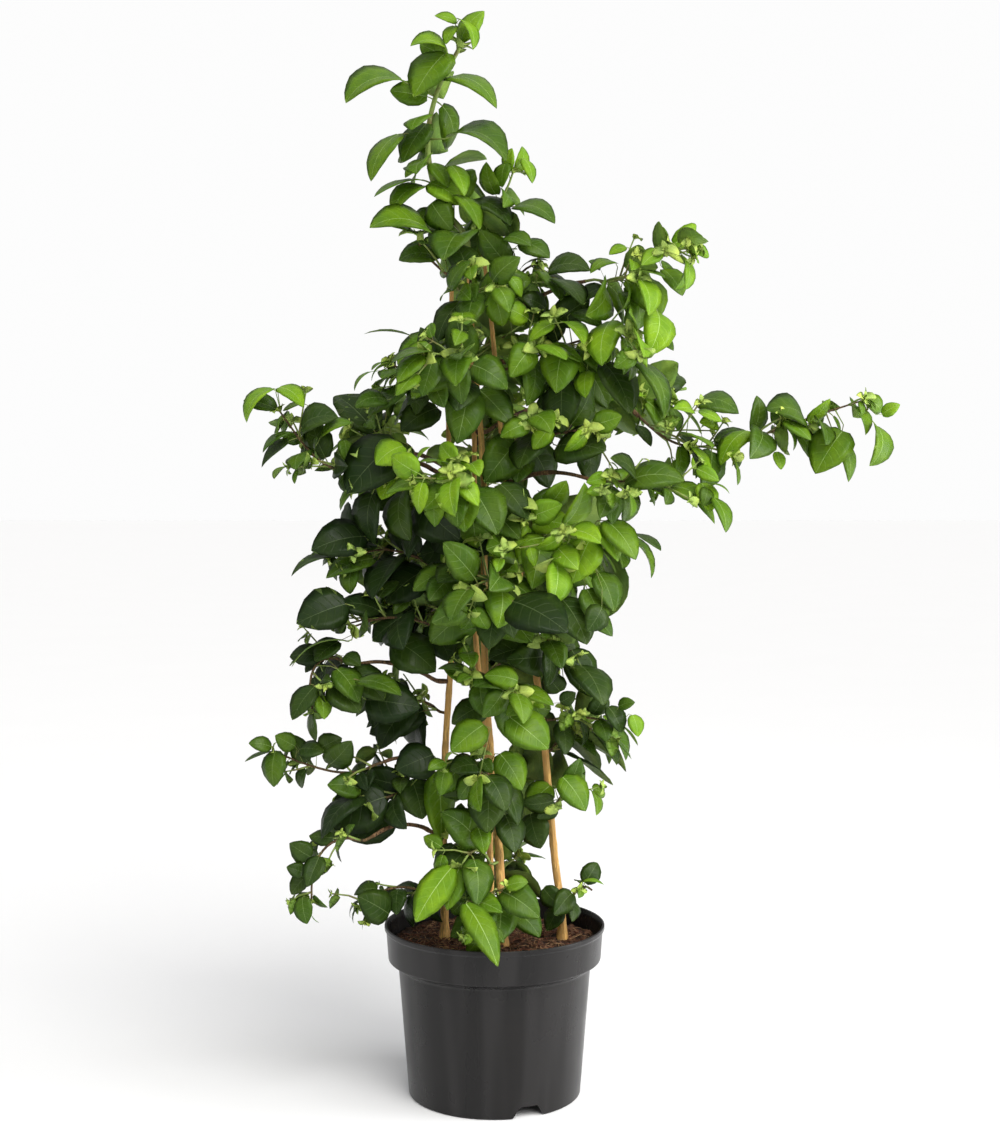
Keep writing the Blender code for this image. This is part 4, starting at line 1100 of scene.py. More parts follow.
class Ring:
    """How a blade's cross-section goes round: up over the top face and back under it.

    For every corner of the ring: its share of the half width, which side of the midrib it edges
    (0 where it doesn't), and 1 on the top face and 0 below. For every strip: its finish, 0 for
    the top, 1 for the midrib and 2 for the underside. Its leaves have a stalk of some share of
    their length and are no lighter than a numbered tone.
    """

    def __init__(self, stations, share, rib, top, finish, stalk, lightest):
        self.stations, self.share = np.array(stations), np.array(share)
        self.rib, self.top = np.array(rib), np.array(top)
        self.stalk, self.lightest = stalk, lightest
        self.sides = len(share)
        self.points = len(stations) * self.sides + 2
        self.faces = [faces[:, ::-1] for faces in ring_faces(len(stations), self.sides)]
        self.slots = [np.tile(finish, len(stations) - 1), np.tile(finish, 2)]
        across_map = 0.5 + 0.5 * np.where(self.rib != 0, 0.04 * self.rib, self.share)
        rings = np.stack(np.broadcast_arrays(across_map[None], self.stations[:, None]), -1)
        self.map = np.concatenate([rings.reshape(-1, 2), [(0.5, 0.0), (0.5, 1.0)]])


BROAD = Ring(
    (0.025, 0.085, 0.17, 0.28, 0.40, 0.52, 0.64, 0.76, 0.87, 0.955),
    (-1.0, -0.55, 0.0, 0.0, 0.55, 1.0, 0.0),
    (0, 0, -1, 1, 0, 0, 0),
    (1, 1, 1, 1, 1, 1, 0),
    (0, 0, 1, 0, 0, 2, 2),
    0.17, 4,
)
SMALL = Ring(
    (0.08, 0.30, 0.58, 0.84),
    (-1.0, 0.0, 0.0, 1.0, 0.0),
    (0, -1, 1, 0, 0),
    (1, 1, 1, 1, 0),
    (0, 1, 0, 2, 2),
    0.08, 5,
)


def leaf_outline(u):
    """A blade's half width, 1 at its widest: (u / w)^base power * ((1 - u) / (1 - w))^tip power."""
    return (u / WIDEST) ** BASE_POWER * ((1 - u) / (1 - WIDEST)) ** TIP_POWER


def blade(ring, root, along, normal, length, width, bend, twist, sway, fold, curl):
    """One blade's points, ring by ring from its root, then its two ends.

    Share v of the length lies length * sin(bend v) / bend along the leaf and
    length * (1 - cos(bend v)) / bend below it, and length * sway * v^2 to its side. There the
    section turns by twist * v about the leaf. A corner at share c of the half width h rises by
    fold * |c| * h - curl * c^2 * h, with every second station puckered up between the veins,
    and the sections sweep forward at their margins, and back at the heart-shaped base.
    """
    u, c = ring.stations[:, None], ring.share[None]
    size = np.abs(c)
    sweep = SLANT * np.sin(math.pi * u)
    odd = 1.0 - 2.0 * (np.arange(len(u)) % 2)[:, None]
    half = length * width * leaf_outline(u + sweep) * (1.0 + TEETH * odd)
    rib = length * (RIB_TIP + (RIB_BASE - RIB_TIP) * (1 - u))
    y = np.where(ring.rib != 0, ring.rib * rib, c * half)
    z = fold * size * half - curl * c**2 * half + PUCKER * length * odd * size * (1 - size) * 4
    z = z - length * np.where(ring.top == 1, RIB_SUNK * (ring.rib != 0), BLADE_THICKNESS)
    v = u + size * sweep - size**2 * HEART * np.exp(-u / HEART_REACH)
    v = np.concatenate([v.ravel(), [0.0, 1.0]])[:, None]
    y = np.concatenate([y.ravel(), [0.0, 0.0]])[:, None]
    z = np.concatenate([z.ravel(), [-0.5 * BLADE_THICKNESS * length, 0.0]])[:, None]
    level = np.cross(normal, along)
    spine = np.sin(bend * v) * along - (1 - np.cos(bend * v)) * normal
    up = np.sin(bend * v) * along + np.cos(bend * v) * normal
    side = np.cos(twist * v) * level + np.sin(twist * v) * up
    rise = np.cos(twist * v) * up - np.sin(twist * v) * level
    return root + length / bend * spine + length * sway * v**2 * level + y * side + z * rise


PROXY_THICKNESS = 0.0010
PROXY_FACES = [(6, k, (k + 1) % 6) for k in range(6)] + [(7, (k + 1) % 6, k) for k in range(6)]


def proxy_tree(ring, points):
    """The search tree of eight points that stand for a blade.

    They are its root, margins and tip, and its middle moved up and down along its normal.
    """
    stations, right = len(ring.stations), int(np.argmax(ring.share))
    near, far = stations // 4 * ring.sides, 5 * stations // 8 * ring.sides
    middle = points[stations // 2 * ring.sides + 2]
    lift = PROXY_THICKNESS * unit(np.cross(points[-1] - points[-2], points[near + right] - middle))
    rim = points[[-2, near, far, -1, far + right, near + right]]
    return BVHTree.FromPolygons([*rim.tolist(), middle + lift, middle - lift], PROXY_FACES)


# ---- the growing crown ------------------------------------------------------------------------
LEAF_STEP = 0.0205
BACK_STEP = 0.0120
BACK_GAIN = 1.25
LEAF_TRIES = 7
BLADE_WIDTH = 0.355
SIDE_WEIGHT, FORWARD_WEIGHT, OUTWARD_WEIGHT = 0.80, 0.42, 0.30
FINE_SHARE = 0.75
FINE_LENGTH = (0.018, 0.048)
FINE_ANGLE = math.radians(48)
PAIR_TURN = math.radians(80)
SMALLEST_BROAD = 0.026
TWIG_SIDES = 6
SHOOT_SLIMNESS = 0.66
LEADER_SLIMNESS = 1.45
BUD_SIZES = (0.80, 0.58, 0.34)
BUD_SPREADS = (1.1, 0.7, 0.3)
AGE_TONES = {"old": 0.8, "mid": 1.6, "young": 2.4}
# Painted shade and light in the leaves' greens: masses low in the crown take darker tones, and masses on
# the right, where the key light falls, take lighter ones.
LOW_CROWN = 0.48
LOW_SHADE = 0.65
SUNNY = 0.6
SUNNY_WIDTH = 0.16
FINER_SEED = FIRST_SEED + 1000
CHOSEN_LEANS = (-0.25, -0.45, -0.05, -0.65, 0.15, -0.85, 0.35)

# The spans that a leaf's bend, twist, sway, fold and curl are drawn from, and a chosen leaf's last four
LEAF_SPANS = ((0.50, 1.55), (-0.45, 0.45), (-0.12, 0.12), (0.04, 0.36), (0.06, 0.28))
CHOSEN_SPANS = ((-0.2, 0.2), (-0.06, 0.06), (0.05, 0.25), (0.05, 0.22))


def ball_of(points):
    """The middle of some points, and how far the farthest is from it."""
    centre = points.mean(0)
    return centre, np.linalg.norm(points - centre, axis=1).max()


class Crown:
    """What has grown so far: each thing's ball and search tree, so that nothing crosses it."""

    def __init__(self, spines, limbs):
        self.lines = np.stack(spines)
        self.reach = np.array([mass.reach for mass in MASSES.values()])
        self.limbs = limbs
        self.balls = np.zeros((0, 4))
        self.trees = []

    def in_own_space(self, index, points):
        """True where all points are within reach of their own stem, and their middle nearest it."""
        gaps = np.linalg.norm(points[:, None, None] - self.lines[None], axis=-1).min(2) / self.reach
        own = gaps[:, index]
        others = np.delete(gaps.mean(0), index)
        return bool(own.max() <= 1.0 and own.mean() <= SHARED * others.min())

    def in_reach(self, index, points):
        """True where all points are within reach of their own stem."""
        gaps = np.linalg.norm(points[:, None] - self.lines[index][None], axis=-1).min(1)
        return bool(gaps.max() <= self.reach[index])

    def off_sky(self, points):
        """True where no point lies in an opening, an ellipse (x / a)^2 + (z / b)^2 < 1."""
        off = (points[:, None, (0, 2)] - OPENING_PLACES) / OPENING_SIZES
        return bool((np.linalg.norm(off, axis=-1) > 1.0).all())

    def above_pot(self, points):
        """True where no point comes down on the compost, the rim or the pot's wall."""
        radial, height = np.hypot(points[:, 0], points[:, 1]), points[:, 2]
        over = height[radial < RIM_RADIUS + 0.003]
        inside = height.min() > SOIL_TOP + 0.004 and radial.max() < RIM_RADIUS - 0.012
        return bool((over > POT_HEIGHT + 0.003).all() or inside)

    def has_room(self, index, points, own):
        """True where points are off the sky and the pot, and some of them in their own space."""
        return self.in_own_space(index, own) and self.above_pot(points) and self.off_sky(points)

    def is_clear(self, points, tree, skip):
        """True where the tree crosses no limb, and nothing near it but what it may touch."""
        if any(limb.overlap(tree) for limb in self.limbs):
            return False
        centre, radius = ball_of(points)
        near = np.linalg.norm(self.balls[:, :3] - centre, axis=1) < self.balls[:, 3] + radius
        return not any(k not in skip and self.trees[k].overlap(tree) for k in np.flatnonzero(near))

    def keep(self, points, tree):
        """Adds a thing and returns its number."""
        centre, radius = ball_of(points)
        self.balls = np.vstack([self.balls, [*centre, radius]])
        self.trees.append(tree)
        return len(self.trees) - 1


def tube_tree(path, radii):
    """The search tree and points of a thin four-sided tube."""
    quads, tris = ring_faces(len(path), 4)
    points = tubes(path[None], radii[None], 4)[0]
    return BVHTree.FromPolygons(points.tolist(), quads.tolist() + tris.tolist()), points


class Harvest:
    """What is to be joined: blades by tone and ring, tubes by piece, and each tone's masses."""

    def __init__(self):
        self.blades = {(tone, ring): [] for tone in TONES for ring in (BROAD, SMALL)}
        self.owners = {tone: set() for tone in TONES}
        kinds = ("twigs_woody", "twigs_green", "leaf_stalks_green", "leaf_stalks_young")
        self.tubes = {kind: [] for kind in kinds}

    def add_blade(self, tone, ring, points, owner):
        self.blades[tone, ring].append(points)
        self.owners[tone].add(owner)


class Shoot:
    """One mass of foliage as it grows. Behind, its leaves are larger and closer."""

    def __init__(self, crown, harvest, index, name, spine):
        self.crown, self.harvest, self.index, self.name = crown, harvest, index, name
        self.mass, self.spine = MASSES[name], spine
        across, back, high = self.mass.tip
        self.step = BACK_STEP if back > 0 else LEAF_STEP
        self.length = self.mass.leaf * (BACK_GAIN if back > 0 else 1.0)
        self.draw = np.random.default_rng(FIRST_SEED + index).uniform
        self.finer = np.random.default_rng(FINER_SEED + index).uniform
        # A mass's tone: its age's tone, painted darker low in the crown as shade, and painted lighter
        # towards the right as light.
        self.tone = AGE_TONES[self.mass.age] - (LOW_SHADE if high < LOW_CROWN else 0.0)
        self.tone += SUNNY * np.clip(across / SUNNY_WIDTH, -1.0, 1.0)

    def hang(self, ring, points, holders, tone, loose, *stalk):
        """Keeps a blade and its stalk and returns its number, if it crosses only what holds it."""
        tree = proxy_tree(ring, points)
        if not self.crown.is_clear(points, tree, holders):
            return None
        number = int(np.clip(round(tone + self.finer(-loose, loose)), 0, ring.lightest))
        self.harvest.add_blade(TONE_NAMES[number], ring, points, self.name)
        self.stalk(TONE_NAMES[number], *stalk)
        return self.crown.keep(points, tree)

    def leaf(self, holders, point, direction, side, length, tone, ring=BROAD):
        """Hangs one leaf on its stalk, turned a few times until it clears all but its holders.

        It sets out to its side and forwards, leans outwards and droops, and faces the light.
        """
        out, draw = outward(point), self.finer
        heading = SIDE_WEIGHT * side + FORWARD_WEIGHT * direction + OUTWARD_WEIGHT * out
        for turn in range(LEAF_TRIES):
            along = unit(heading + (0, 0, draw(-0.75, -0.15)))
            light = np.array([0, -0.20, 0.50]) + 0.60 * out + draw(-0.5, 0.5, 3)
            size = length * (1.0 - 0.06 * turn)
            stalk = size * ring.stalk * draw(0.8, 1.25)
            root = point + stalk * unit(along + (0, 0, 0.22))
            width = BLADE_WIDTH * draw(0.86, 1.12)
            shape = [draw(*span) for span in LEAF_SPANS]
            points = blade(ring, root, along, across(along, light), size - stalk, width, *shape)
            if self.crown.has_room(self.index, points, points[::3]):
                number = self.hang(ring, points, holders, tone, 0.45, point, root, along, size)
                if number is not None:
                    return {number}
        return set()

    def chosen_leaf(self, row):
        """One leaf from the list. Its chord c runs from foot to tip, and its middle faces up or front.

        An arc that bends by b has the length |c| * b / (2 sin(b / 2)) and sets out b / 2 above c.
        """
        share, *seen, bend, face, width, tone = np.array(row) / CHOSEN_UNITS
        run = run_along(self.spine)
        point = read_off(share * run[-1], run, self.spine)
        foot, tip = seen_at(*seen[:2], point[1]), seen_at(*seen[2:], point[1])
        off, chord = foot - point, tip - foot
        hint = np.array([0.8 * np.sign(tip[0] - point[0]), -2.0 * face, 1.0 - 0.6 * face])
        for lean in CHOSEN_LEANS:
            root = point + off + (0, lean * np.linalg.norm(off) - 0.003, 0)
            c = chord + (0, lean * np.linalg.norm(chord), 0)
            length = np.linalg.norm(c) * bend / (2 * math.sin(bend / 2))
            rise = across(unit(c), hint)
            along = math.cos(bend / 2) * unit(c) + math.sin(bend / 2) * rise
            normal = math.cos(bend / 2) * rise - math.sin(bend / 2) * unit(c)
            shape = [self.finer(*span) for span in CHOSEN_SPANS]
            points = blade(BROAD, root, along, normal, length, width, bend, *shape)
            if self.crown.in_reach(self.index, points) and self.crown.above_pot(points):
                stalk = point, root, along, length
                if self.hang(BROAD, points, {self.index}, tone, 0.2, *stalk) is not None:
                    return

    def stalk(self, tone, point, root, along, size):
        """A leaf stalk: a curve from the twig that runs on into the leaf's midrib."""
        reach = 0.4 * np.linalg.norm(root - point)
        second, end = point + reach * unit(root - point), root + 0.02 * size * along
        path = bezier(point, second, root - reach * along, end, len(STALK_SWELL))
        radii = STALK_RADIUS * np.clip(size / 0.06, 0.35, 1.1) * STALK_SWELL
        kind = "young" if tone in ("bright", "lime") else "green"
        self.harvest.tubes[f"leaf_stalks_{kind}"].append((path, radii))

    def rosette(self, tip, direction, length):
        """A growing point: crossed pairs of unfolding leaves, each smaller and less open."""
        draw = self.finer
        for index in range(2 * len(BUD_SIZES)):
            pair, other = divmod(index, 2)
            side = side_at(direction, other * math.pi + pair * math.pi / 2 + draw(-0.4, 0.4))
            size = length * BUD_SIZES[pair] * draw(0.8, 1.2)
            along = unit(direction + BUD_SPREADS[pair] * side + (0, 0, draw(-0.25, 0.1)))
            normal = across(along, direction - side * 0.8 + (0, 0, 0.3))
            shape = draw(0.5, 1.6), draw(-0.5, 0.5), 0.0, draw(0.5, 0.9), 0.15
            root = tip - 0.001 * direction
            points = blade(SMALL, root, along, normal, size, BLADE_WIDTH * 0.88, *shape)
            if self.crown.has_room(self.index, points, points):
                self.harvest.add_blade("lime", SMALL, points, self.name)

    def leafy_twig(self, key, path, first, length, tone, finer):
        """Leaves in opposite pairs along a twig, each pair turned from the last, and its rosette.

        A finer twig may rise from the angle of a leaf, as long as it stays in the mass's reach.
        """
        draw = self.finer
        for index, (share, point, direction) in enumerate(node_points(path, first, self.step)):
            side = side_at(direction, (index % 2) * PAIR_TURN + draw(-0.35, 0.35))
            holders = {key}
            for side in (side, -side):
                size = length * (1.0 - 0.42 * share**2) * draw(0.82, 1.14)
                holders |= self.leaf(holders, point, direction, side, size, tone + 1.1 * share**2)
                if finer and draw() < FINE_SHARE:
                    self.fine_twig(key, point, direction, side, length, tone + 0.8)
        end = unit(path[-1] - path[-2])
        last = LAST_LEAF * length
        self.leaf({key}, path[-1] - 0.002 * end, end, 0.6 * end, last, tone + 1.4)
        self.rosette(path[-1], end, 0.36 * length)

    def twig(self, kind, path, radii, holder, skipped):
        """Keeps a twig and returns its number, if it has room and crosses only its holder."""
        if not self.crown.has_room(self.index, path[1:], path[1:]):
            return None
        tree, points = tube_tree(path, radii)
        if not self.crown.is_clear(points[skipped:], tree, {holder}):
            return None
        self.harvest.tubes[kind].append((path, radii))
        return self.crown.keep(points, tree)

    def fine_twig(self, holder, point, direction, side, length, tone):
        """A short twig in the angle of a leaf, with a pair of small leaves and a rosette."""
        draw = self.finer
        reach = draw(*FINE_LENGTH)
        heading = math.cos(FINE_ANGLE) * direction + math.sin(FINE_ANGLE) * side
        tip = point + reach * unit(heading + (0, 0, draw(0.0, 0.45)))
        path = np.array([point, 0.5 * (point + tip) + draw(-0.002, 0.002, 3), tip])
        key = self.twig("twigs_green", path, np.linspace(0.0011, 0.0007, 3), holder, 0)
        if key is None:
            return
        end = unit(path[-1] - path[-2])
        holders = {key, holder}
        side = side_at(end, draw(0.0, math.pi))
        for side in (side, -side):
            size = length * draw(0.34, 0.62)
            ring = SMALL if size < SMALLEST_BROAD else BROAD
            foot = tip - 0.25 * reach * end
            holders |= self.leaf(holders, foot, end, side, size, tone + 0.8, ring)
        self.rosette(tip, end, 0.26 * length)

    def side_twig(self, point, direction, side, length):
        """One straight twig that leaves the stem at an angle, if it has room."""
        heading = math.cos(SIDE_TWIG_ANGLE) * direction + math.sin(SIDE_TWIG_ANGLE) * side
        drop = (0, 0, self.draw(-0.25, 0.10))
        tip = point + length * unit(heading + 0.25 * outward(point) + drop)
        bow, third = np.array([0.0, 0.0, 0.06 * length]), (tip - point) / 3
        path = bezier(point, point + third + bow, tip - third + bow, tip, 6)
        radii = np.linspace(TWIG_RADIUS, TWIG_RADIUS * TIP_SHARE, len(path)) * SHOOT_SLIMNESS
        kind = "twigs_woody" if self.mass.age == "old" else "twigs_green"
        return self.twig(kind, path, radii, self.index, 8), path

    def grow(self):
        """The shoot's side twigs in pairs, then the leaves along its stem and along each twig."""
        pairs, twigs = self.mass.pairs, []
        nodes = list(node_points(self.spine, FIRST_NODE, SOLID_STEP))
        for share, point, direction in nodes[: 2 * pairs : 2]:
            side = side_at(direction, self.draw(-0.5, 0.5))
            for side in (side, -side):
                size = self.mass.reach * (0.62 - 0.18 * share) * self.draw(0.8, 1.1)
                twigs.append(self.side_twig(point, direction, side, size))
        for row in CHOSEN.get(self.name, ()):
            self.chosen_leaf(row)
        tone = self.tone + self.finer(-0.3, 0.3)
        self.leafy_twig(self.index, self.spine, 0.6 * FIRST_NODE, self.length, tone, pairs > 0)
        for key, path in twigs:
            if key is not None:
                tone = self.tone + self.finer(-0.8, 0.8)
                self.leafy_twig(key, path, 0.6 * LEAF_STEP, 0.92 * self.length, tone, True)


def node_points(path, first, step):
    """Points along a path, evenly spaced from the first one, with its direction at each."""
    run, along = run_along(path), tangents(path)
    for place in np.arange(first, run[-1] - 0.3 * step, step):
        yield place / run[-1], read_off(place, run, path), unit(read_off(place, run, along))


def grow_crown():
    """Grows every mass in its own space and returns all blades, stalks and twigs."""
    limbs = plan_limbs()
    spines = [spine_path(limbs, mass) for mass in MASSES.values()]
    crown = Crown(spines, [tube_tree(*limb)[0] for limb in limbs.values()])
    harvest = Harvest()
    stems = []
    for (name, mass), spine in zip(MASSES.items(), spines):
        radii = np.linspace(SPINE_RADIUS, SPINE_RADIUS * TIP_SHARE, len(spine))
        tree, points = tube_tree(spine, radii)
        crown.keep(points, tree)
        start = place_on(limbs[mass.limb], mass.height)[2] if mass.height else 0.002
        slimness = LEADER_SLIMNESS if name == "leader" else SHOOT_SLIMNESS
        stems.append(resampled(*rooted(spine, slimness * radii, start), 0.005))
        harvest.tubes["twigs_green" if mass.age == "young" else "twigs_woody"].append(stems[-1])
    for index, (name, stem) in enumerate(zip(MASSES, stems)):
        Shoot(crown, harvest, index, name, stem[0][1:]).grow()
    return harvest


def cell_map(places, below, numbers, cells):
    """Each blade's own cell of the bake map: its top face on the left and its underside right.

    A cell is 1 / cells wide. Inside it the top face takes the left half and the rest the right.
    """
    corner = np.stack([numbers % cells, numbers // cells], axis=-1) / cells
    x = (0.03 + 0.44 * places[..., 0] + 0.5 * below[:, None]) / cells
    y = (0.03 + 0.94 * places[..., 1]) / cells
    return (np.stack([x, y], axis=-1)[None] + corner[:, None, None]).reshape(-1, 2)


def blade_piece(name, harvest, tone, finishes):
    """All blades of one tone as one piece, each with its place on the leaf's map and the bake's."""
    groups = [(ring, harvest.blades[tone, ring]) for ring in (BROAD, SMALL)]
    groups = [(ring, np.stack(blades)) for ring, blades in groups if blades]
    cells = math.ceil(math.sqrt(sum(len(blades) for _, blades in groups)))
    faces, slots, own, bake = [], [], [], []
    for kind in range(2):
        start, first, same = 0, 0, []
        for ring, blades in groups:
            count, local = len(blades), ring.faces[kind]
            same.append(copies(local, count, ring.points) + start)
            slots.append(np.tile(ring.slots[kind], count))
            own.append(np.tile(ring.map[local].reshape(-1, 2), (count, 1)))
            numbers = first + np.arange(count)
            bake.append(cell_map(ring.map[local], ring.slots[kind] == 2, numbers, cells))
            start += count * ring.points
            first += count
        faces.append(np.concatenate(same))
    points = np.concatenate([blades.reshape(-1, 3) for _, blades in groups])
    maps = {LEAF_MAP: np.concatenate(own), BAKE_MAP: np.concatenate(bake)}
    piece = build_mesh(name, points, *faces, finishes, np.concatenate(slots), maps)
    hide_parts(*nodes_of(harvest.owners[tone]))
    return piece


def make_foliage(sizes):
    harvest = grow_crown()
    for tone, (veins, gloss, paleness, slot) in TONES.items():
        colour = tuple(getattr(sizes, tone))
        vein = towards(shade(colour, 2.2), PALE_VEIN, 0.30)
        under = towards(shade(colour, 1.5), PALE_UNDER, 0.55)
        rib = towards(shade(colour, 1.8), PALE_RIB, paleness)
        finishes = [
            leaf_finish(f"leaf_{tone}_top", colour, vein, veins, gloss, 0.6),
            rib_finish(f"leaf_{tone}_midrib", rib),
            leaf_finish(f"leaf_{tone}_underside", under, shade(under, 1.3), 0.5, 0.62, -0.6),
        ]
        piece = blade_piece(f"leaves_{tone}", harvest, tone, finishes)
    bark = bark_finish("twig_bark", sizes.twig, 0.0003)
    woody = tube_piece("twigs_woody", harvest.tubes["twigs_woody"], TWIG_SIDES, bark)
    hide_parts(*nodes_of(name for name in MASSES if MASSES[name].age != "young"))
    skin = shoot_finish("twig_green", sizes.shoot, sizes.twig)
    green = tube_piece("twigs_green", harvest.tubes["twigs_green"], TWIG_SIDES, skin)
    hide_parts(*nodes_of(MASSES))
    looks = {"green": (shade(sizes.shoot, 0.8), sizes.twig), "young": (sizes.shoot, sizes.lime)}
    for kind, colours in looks.items():
        name, skin = f"leaf_stalks_{kind}", shoot_finish(f"stalk_{kind}", *colours)
        stalks = tube_piece(name, harvest.tubes[name], STALK_SIDES, skin)


# ---- the stage --------------------------------------------------------------------------------
FLOOR_SIDE = 60.0
FLOOR_DROP = 0.0005
LIT_MIDDLE = (0.0, 0.0, 0.50)


def make_floor(colour):
    """A flat pale floor, a wide square of one face just under the pot."""
    mesh = bpy.data.meshes.new("studio_floor")
    corners = ((-1, -1), (1, -1), (1, 1), (-1, 1))
    places = [(x * FLOOR_SIDE / 2, y * FLOOR_SIDE / 2, -FLOOR_DROP) for x, y in corners]
    mesh.from_pydata(places, [], [(0, 1, 2, 3)])
    finish = Finish("studio_floor", colour, 0.9)
    finish.colour(finish.mixed(finish.noise(3.0, 2.0), colour, shade(colour, 0.985)))
    mesh.materials.append(finish.material)
    floor = bpy.data.objects.new("studio_floor", mesh)
    bpy.context.scene.collection.objects.link(floor)


def make_light(name, kind, place, strength, **sizes):
    """A soft lamp at its place that points at the crown's middle."""
    light = bpy.data.lights.new(name, kind)
    light.energy = strength
    for title, value in sizes.items():
        setattr(light, title, value)
    item = bpy.data.objects.new(name, light)
    back = unit(np.array(place) - np.array(LIT_MIDDLE))
    level = unit(np.cross((0.0, 0.0, 1.0), back))
    turn = np.eye(4)
    turn[:3] = np.stack([level, np.cross(back, level), back, place], axis=1)
    item.matrix_world = Matrix(turn.tolist())
    bpy.context.scene.collection.objects.link(item)


def make_camera():
    """A camera level from side to side, a little above the crown's middle, looking slightly down."""
    data = bpy.data.cameras.new("studio_camera")
    data.sensor_width = SENSOR
    data.lens = LENS
    camera = bpy.data.objects.new("studio_camera", data)
    camera.location = CAMERA_PLACE
    camera.rotation_euler = (math.pi / 2 + CAMERA_PITCH, 0.0, 0.0)
    bpy.context.scene.collection.objects.link(camera)
    bpy.context.scene.camera = camera


def make_air(sizes):
    """Light from all round, brighter from above, and an even pale backdrop where it is looked at."""
    world = bpy.data.worlds.new("studio_air")
    world.use_nodes = True
    tree = world.node_tree
    air = tree.nodes["Background"]
    backdrop = tree.nodes.new("ShaderNodeBackground")
    for node in (air, backdrop):
        node.inputs["Color"].default_value = (*sizes.air, 1.0)
    backdrop.inputs["Strength"].default_value = sizes.backdrop
    split = tree.nodes.new("ShaderNodeSeparateXYZ")
    tree.links.new(tree.nodes.new("ShaderNodeTexCoord").outputs["Generated"], split.inputs[0])
    rise = tree.nodes.new("ShaderNodeMapRange")
    rise.inputs["To Min"].default_value = 0.35 * sizes.air_strength
    rise.inputs["To Max"].default_value = 1.5 * sizes.air_strength
    tree.links.new(split.outputs[2], rise.inputs[0])
    tree.links.new(rise.outputs[0], air.inputs["Strength"])
    either = tree.nodes.new("ShaderNodeMixShader")
    looked_at = tree.nodes.new("ShaderNodeLightPath").outputs["Is Camera Ray"]
    for number, output in enumerate((looked_at, air.outputs[0], backdrop.outputs[0])):
        tree.links.new(output, either.inputs[number])
    tree.links.new(either.outputs[0], tree.nodes["World Output"].inputs["Surface"])
    bpy.context.scene.world = world


def make_stage(sizes):
    make_air(sizes)
    bpy.context.scene.view_settings.view_transform = "Standard"
    make_floor(sizes.floor)
    warm, soft = {"color": (1.0, 0.99, 0.95)}, math.radians
    make_light("key_light", "SUN", (1.1, -1.9, 2.6), sizes.key_strength, angle=soft(45), **warm)
    make_light("fill_light", "SUN", (-2.0, -2.0, 2.4), sizes.fill_strength, angle=soft(80))
    tall = {"shape": "RECTANGLE", "size_y": 1.9}
    make_light("side_light", "AREA", (1.47, -0.28, 0.62), sizes.side_power, size=0.8, **tall)
    make_light("strip_light", "AREA", (-0.95, -1.17, 0.62), sizes.strip_power, size=0.10, **tall)
    make_camera()


# ---- the add-on -------------------------------------------------------------------------------
def colour_property(title, description, default):
    return bpy.props.FloatVectorProperty(
        name=title, description=description, default=default, subtype="COLOR", min=0.0, max=1.0
    )


def strength_property(title, description, default, unit="NONE"):
    return bpy.props.FloatProperty(
        name=title, description=description, default=default, min=0.0, unit=unit
    )


class HydrangeaPotSizes(bpy.types.PropertyGroup):
    plastic: colour_property("Plastic", "The pot's moulded plastic", (0.0100, 0.0094, 0.0094))


class HydrangeaCompostSizes(bpy.types.PropertyGroup):
    peat: colour_property("Peat", "The compost's crumbs", (0.044, 0.020, 0.011))
    coir: colour_property("Coir", "The pale loose strands", (0.34, 0.20, 0.10))
    root: colour_property("Root", "The red-brown loose strands", (0.15, 0.055, 0.028))
    chip: colour_property("Chip", "The bark chips", (0.11, 0.050, 0.026))


class HydrangeaBarkSizes(bpy.types.PropertyGroup):
    stem: colour_property("Stem bark", "The bark of the four woody stems", (0.70, 0.415, 0.135))
    bough: colour_property("Bough bark", "The bark of the boughs", (0.17, 0.095, 0.045))


class HydrangeaFoliageSizes(bpy.types.PropertyGroup):
    twig: colour_property("Twig bark", "The bark of woody twigs", (0.150, 0.095, 0.042))
    shoot: colour_property("Shoot", "The skin of green shoots and stalks", (0.270, 0.375, 0.085))
    # The leaf greens are the leaves' own colours by age, and also serve as painted shade and painted
    # light: leaves low in the crown take darker greens and leaves on the right lighter ones.
    deep: colour_property("Deep green", "Old leaves in the shade", (0.014, 0.030, 0.006))
    dark: colour_property("Dark green", "Old leaves", (0.030, 0.060, 0.008))
    mid: colour_property("Mid green", "Grown leaves", (0.058, 0.118, 0.010))
    fresh: colour_property("Fresh green", "This year's leaves", (0.096, 0.190, 0.010))
    bright: colour_property("Bright green", "Young leaves", (0.165, 0.312, 0.014))
    lime: colour_property("Lime green", "Unfolding leaves at the tips", (0.430, 0.570, 0.120))


class HydrangeaStageSizes(bpy.types.PropertyGroup):
    floor: colour_property("Floor", "The floor's pale paint", (0.915, 0.915, 0.93))
    air: colour_property("Air", "The light from all round", (1.0, 1.0, 1.0))
    air_strength: strength_property("Air strength", "How strong the light from all round is", 0.44)
    backdrop: strength_property("Backdrop", "How bright the backdrop looks", 0.980)
    key_strength: strength_property("Key light", "Strength of the light from the upper right", 2.6)
    fill_strength: strength_property("Fill light", "Strength of the light from the left", 0.22)
    side_power: strength_property("Side light", "Power of the tall light on the right", 26.0, "POWER")
    strip_power: strength_property("Strip light", "Power of the thin light on the left", 2.0, "POWER")


class HydrangeaPot(bpy.types.Operator):
    """Makes the moulded pot"""

    bl_idname = "hydrangea.pot"
    bl_label = "Pot"

    def execute(self, context):
        make_pot(context.scene.hydrangea_pot)
        return {"FINISHED"}


class HydrangeaCompost(bpy.types.Operator):
    """Makes the compost with its loose strands and chips"""

    bl_idname = "hydrangea.compost"
    bl_label = "Compost"

    def execute(self, context):
        sizes = context.scene.hydrangea_compost
        make_soil(sizes)
        make_strands("coir_strands", sizes.coir)
        make_strands("root_strands", sizes.root)
        make_chips(sizes.chip)
        return {"FINISHED"}


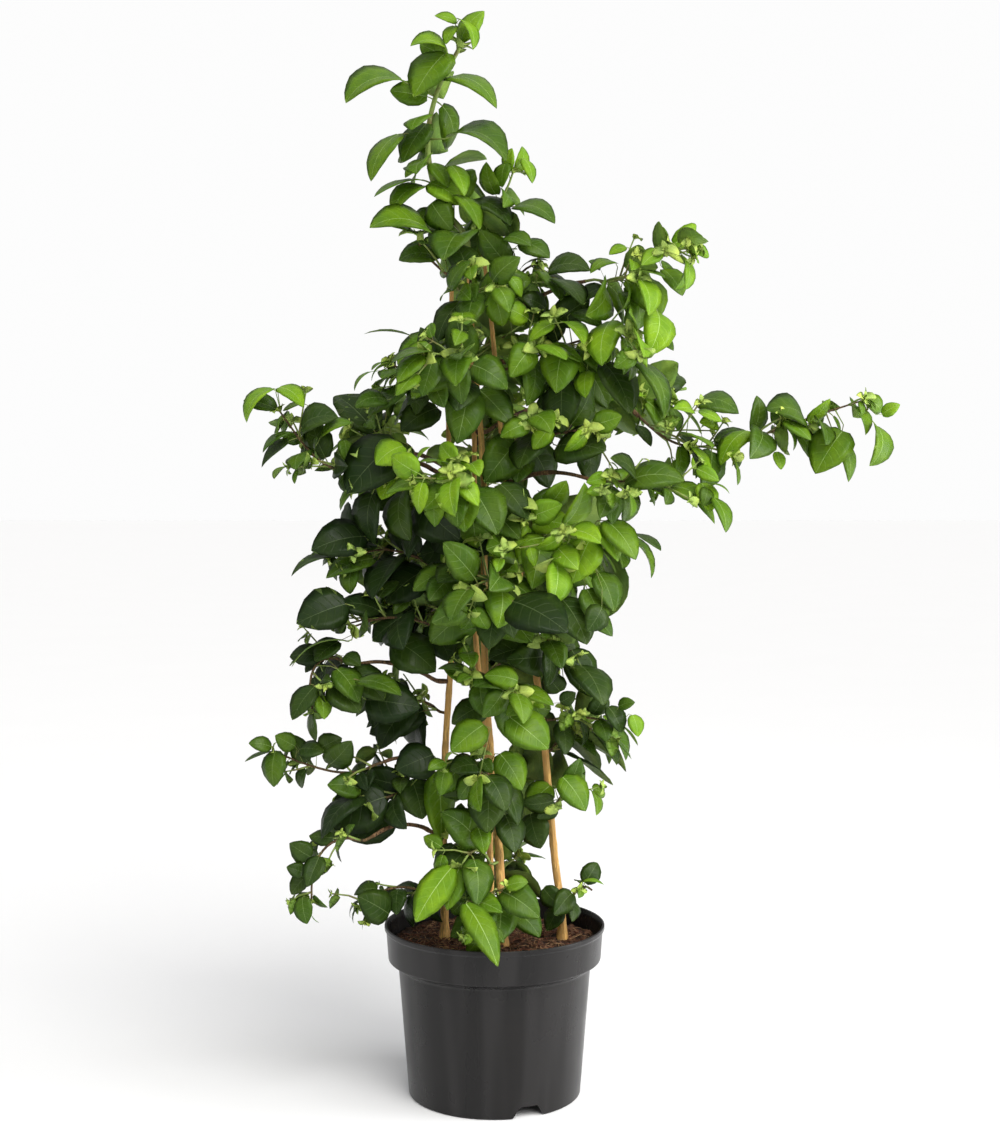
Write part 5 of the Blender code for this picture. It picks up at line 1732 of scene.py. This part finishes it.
class HydrangeaBark(bpy.types.Operator):
    """Makes the stems and boughs with their bark"""

    bl_idname = "hydrangea.bark"
    bl_label = "Stems and boughs"

    def execute(self, context):
        make_limbs(context.scene.hydrangea_bark)
        return {"FINISHED"}


class HydrangeaFoliage(bpy.types.Operator):
    """Grows the twigs and leaves of every mass of foliage"""

    bl_idname = "hydrangea.foliage"
    bl_label = "Twigs and leaves"

    def execute(self, context):
        make_foliage(context.scene.hydrangea_foliage)
        return {"FINISHED"}


class HydrangeaStage(bpy.types.Operator):
    """Makes the floor, the lights and the camera"""

    bl_idname = "hydrangea.stage"
    bl_label = "Stage"

    def execute(self, context):
        make_stage(context.scene.hydrangea_stage)
        return {"FINISHED"}


OPERATORS = (HydrangeaPot, HydrangeaCompost, HydrangeaBark, HydrangeaFoliage, HydrangeaStage)
GROUPS = {
    "hydrangea_pot": HydrangeaPotSizes,
    "hydrangea_compost": HydrangeaCompostSizes,
    "hydrangea_bark": HydrangeaBarkSizes,
    "hydrangea_foliage": HydrangeaFoliageSizes,
    "hydrangea_stage": HydrangeaStageSizes,
}


class HydrangeaPanel(bpy.types.Panel):
    bl_idname = "VIEW3D_PT_hydrangea"
    bl_label = "Potted climbing hydrangea"
    bl_space_type = "VIEW_3D"
    bl_region_type = "UI"
    bl_category = "Hydrangea"

    def draw(self, context):
        for (prop, group), operator in zip(GROUPS.items(), OPERATORS):
            box = self.layout.box()
            sizes = getattr(context.scene, prop)
            for entry in group.__annotations__:
                box.prop(sizes, entry)
            box.operator(operator.bl_idname)


def register():
    for kind in (*GROUPS.values(), *OPERATORS, HydrangeaPanel):
        bpy.utils.register_class(kind)
    for prop, group in GROUPS.items():
        setattr(bpy.types.Scene, prop, bpy.props.PointerProperty(type=group))


def unregister():
    for prop in GROUPS:
        delattr(bpy.types.Scene, prop)
    for kind in (HydrangeaPanel, *reversed(OPERATORS), *reversed(GROUPS.values())):
        bpy.utils.unregister_class(kind)


def main():
    register()
    bpy.ops.hydrangea.pot()
    bpy.ops.hydrangea.compost()
    bpy.ops.hydrangea.bark()
    bpy.ops.hydrangea.foliage()
    bpy.ops.hydrangea.stage()


if __name__ == "__main__":
    main()
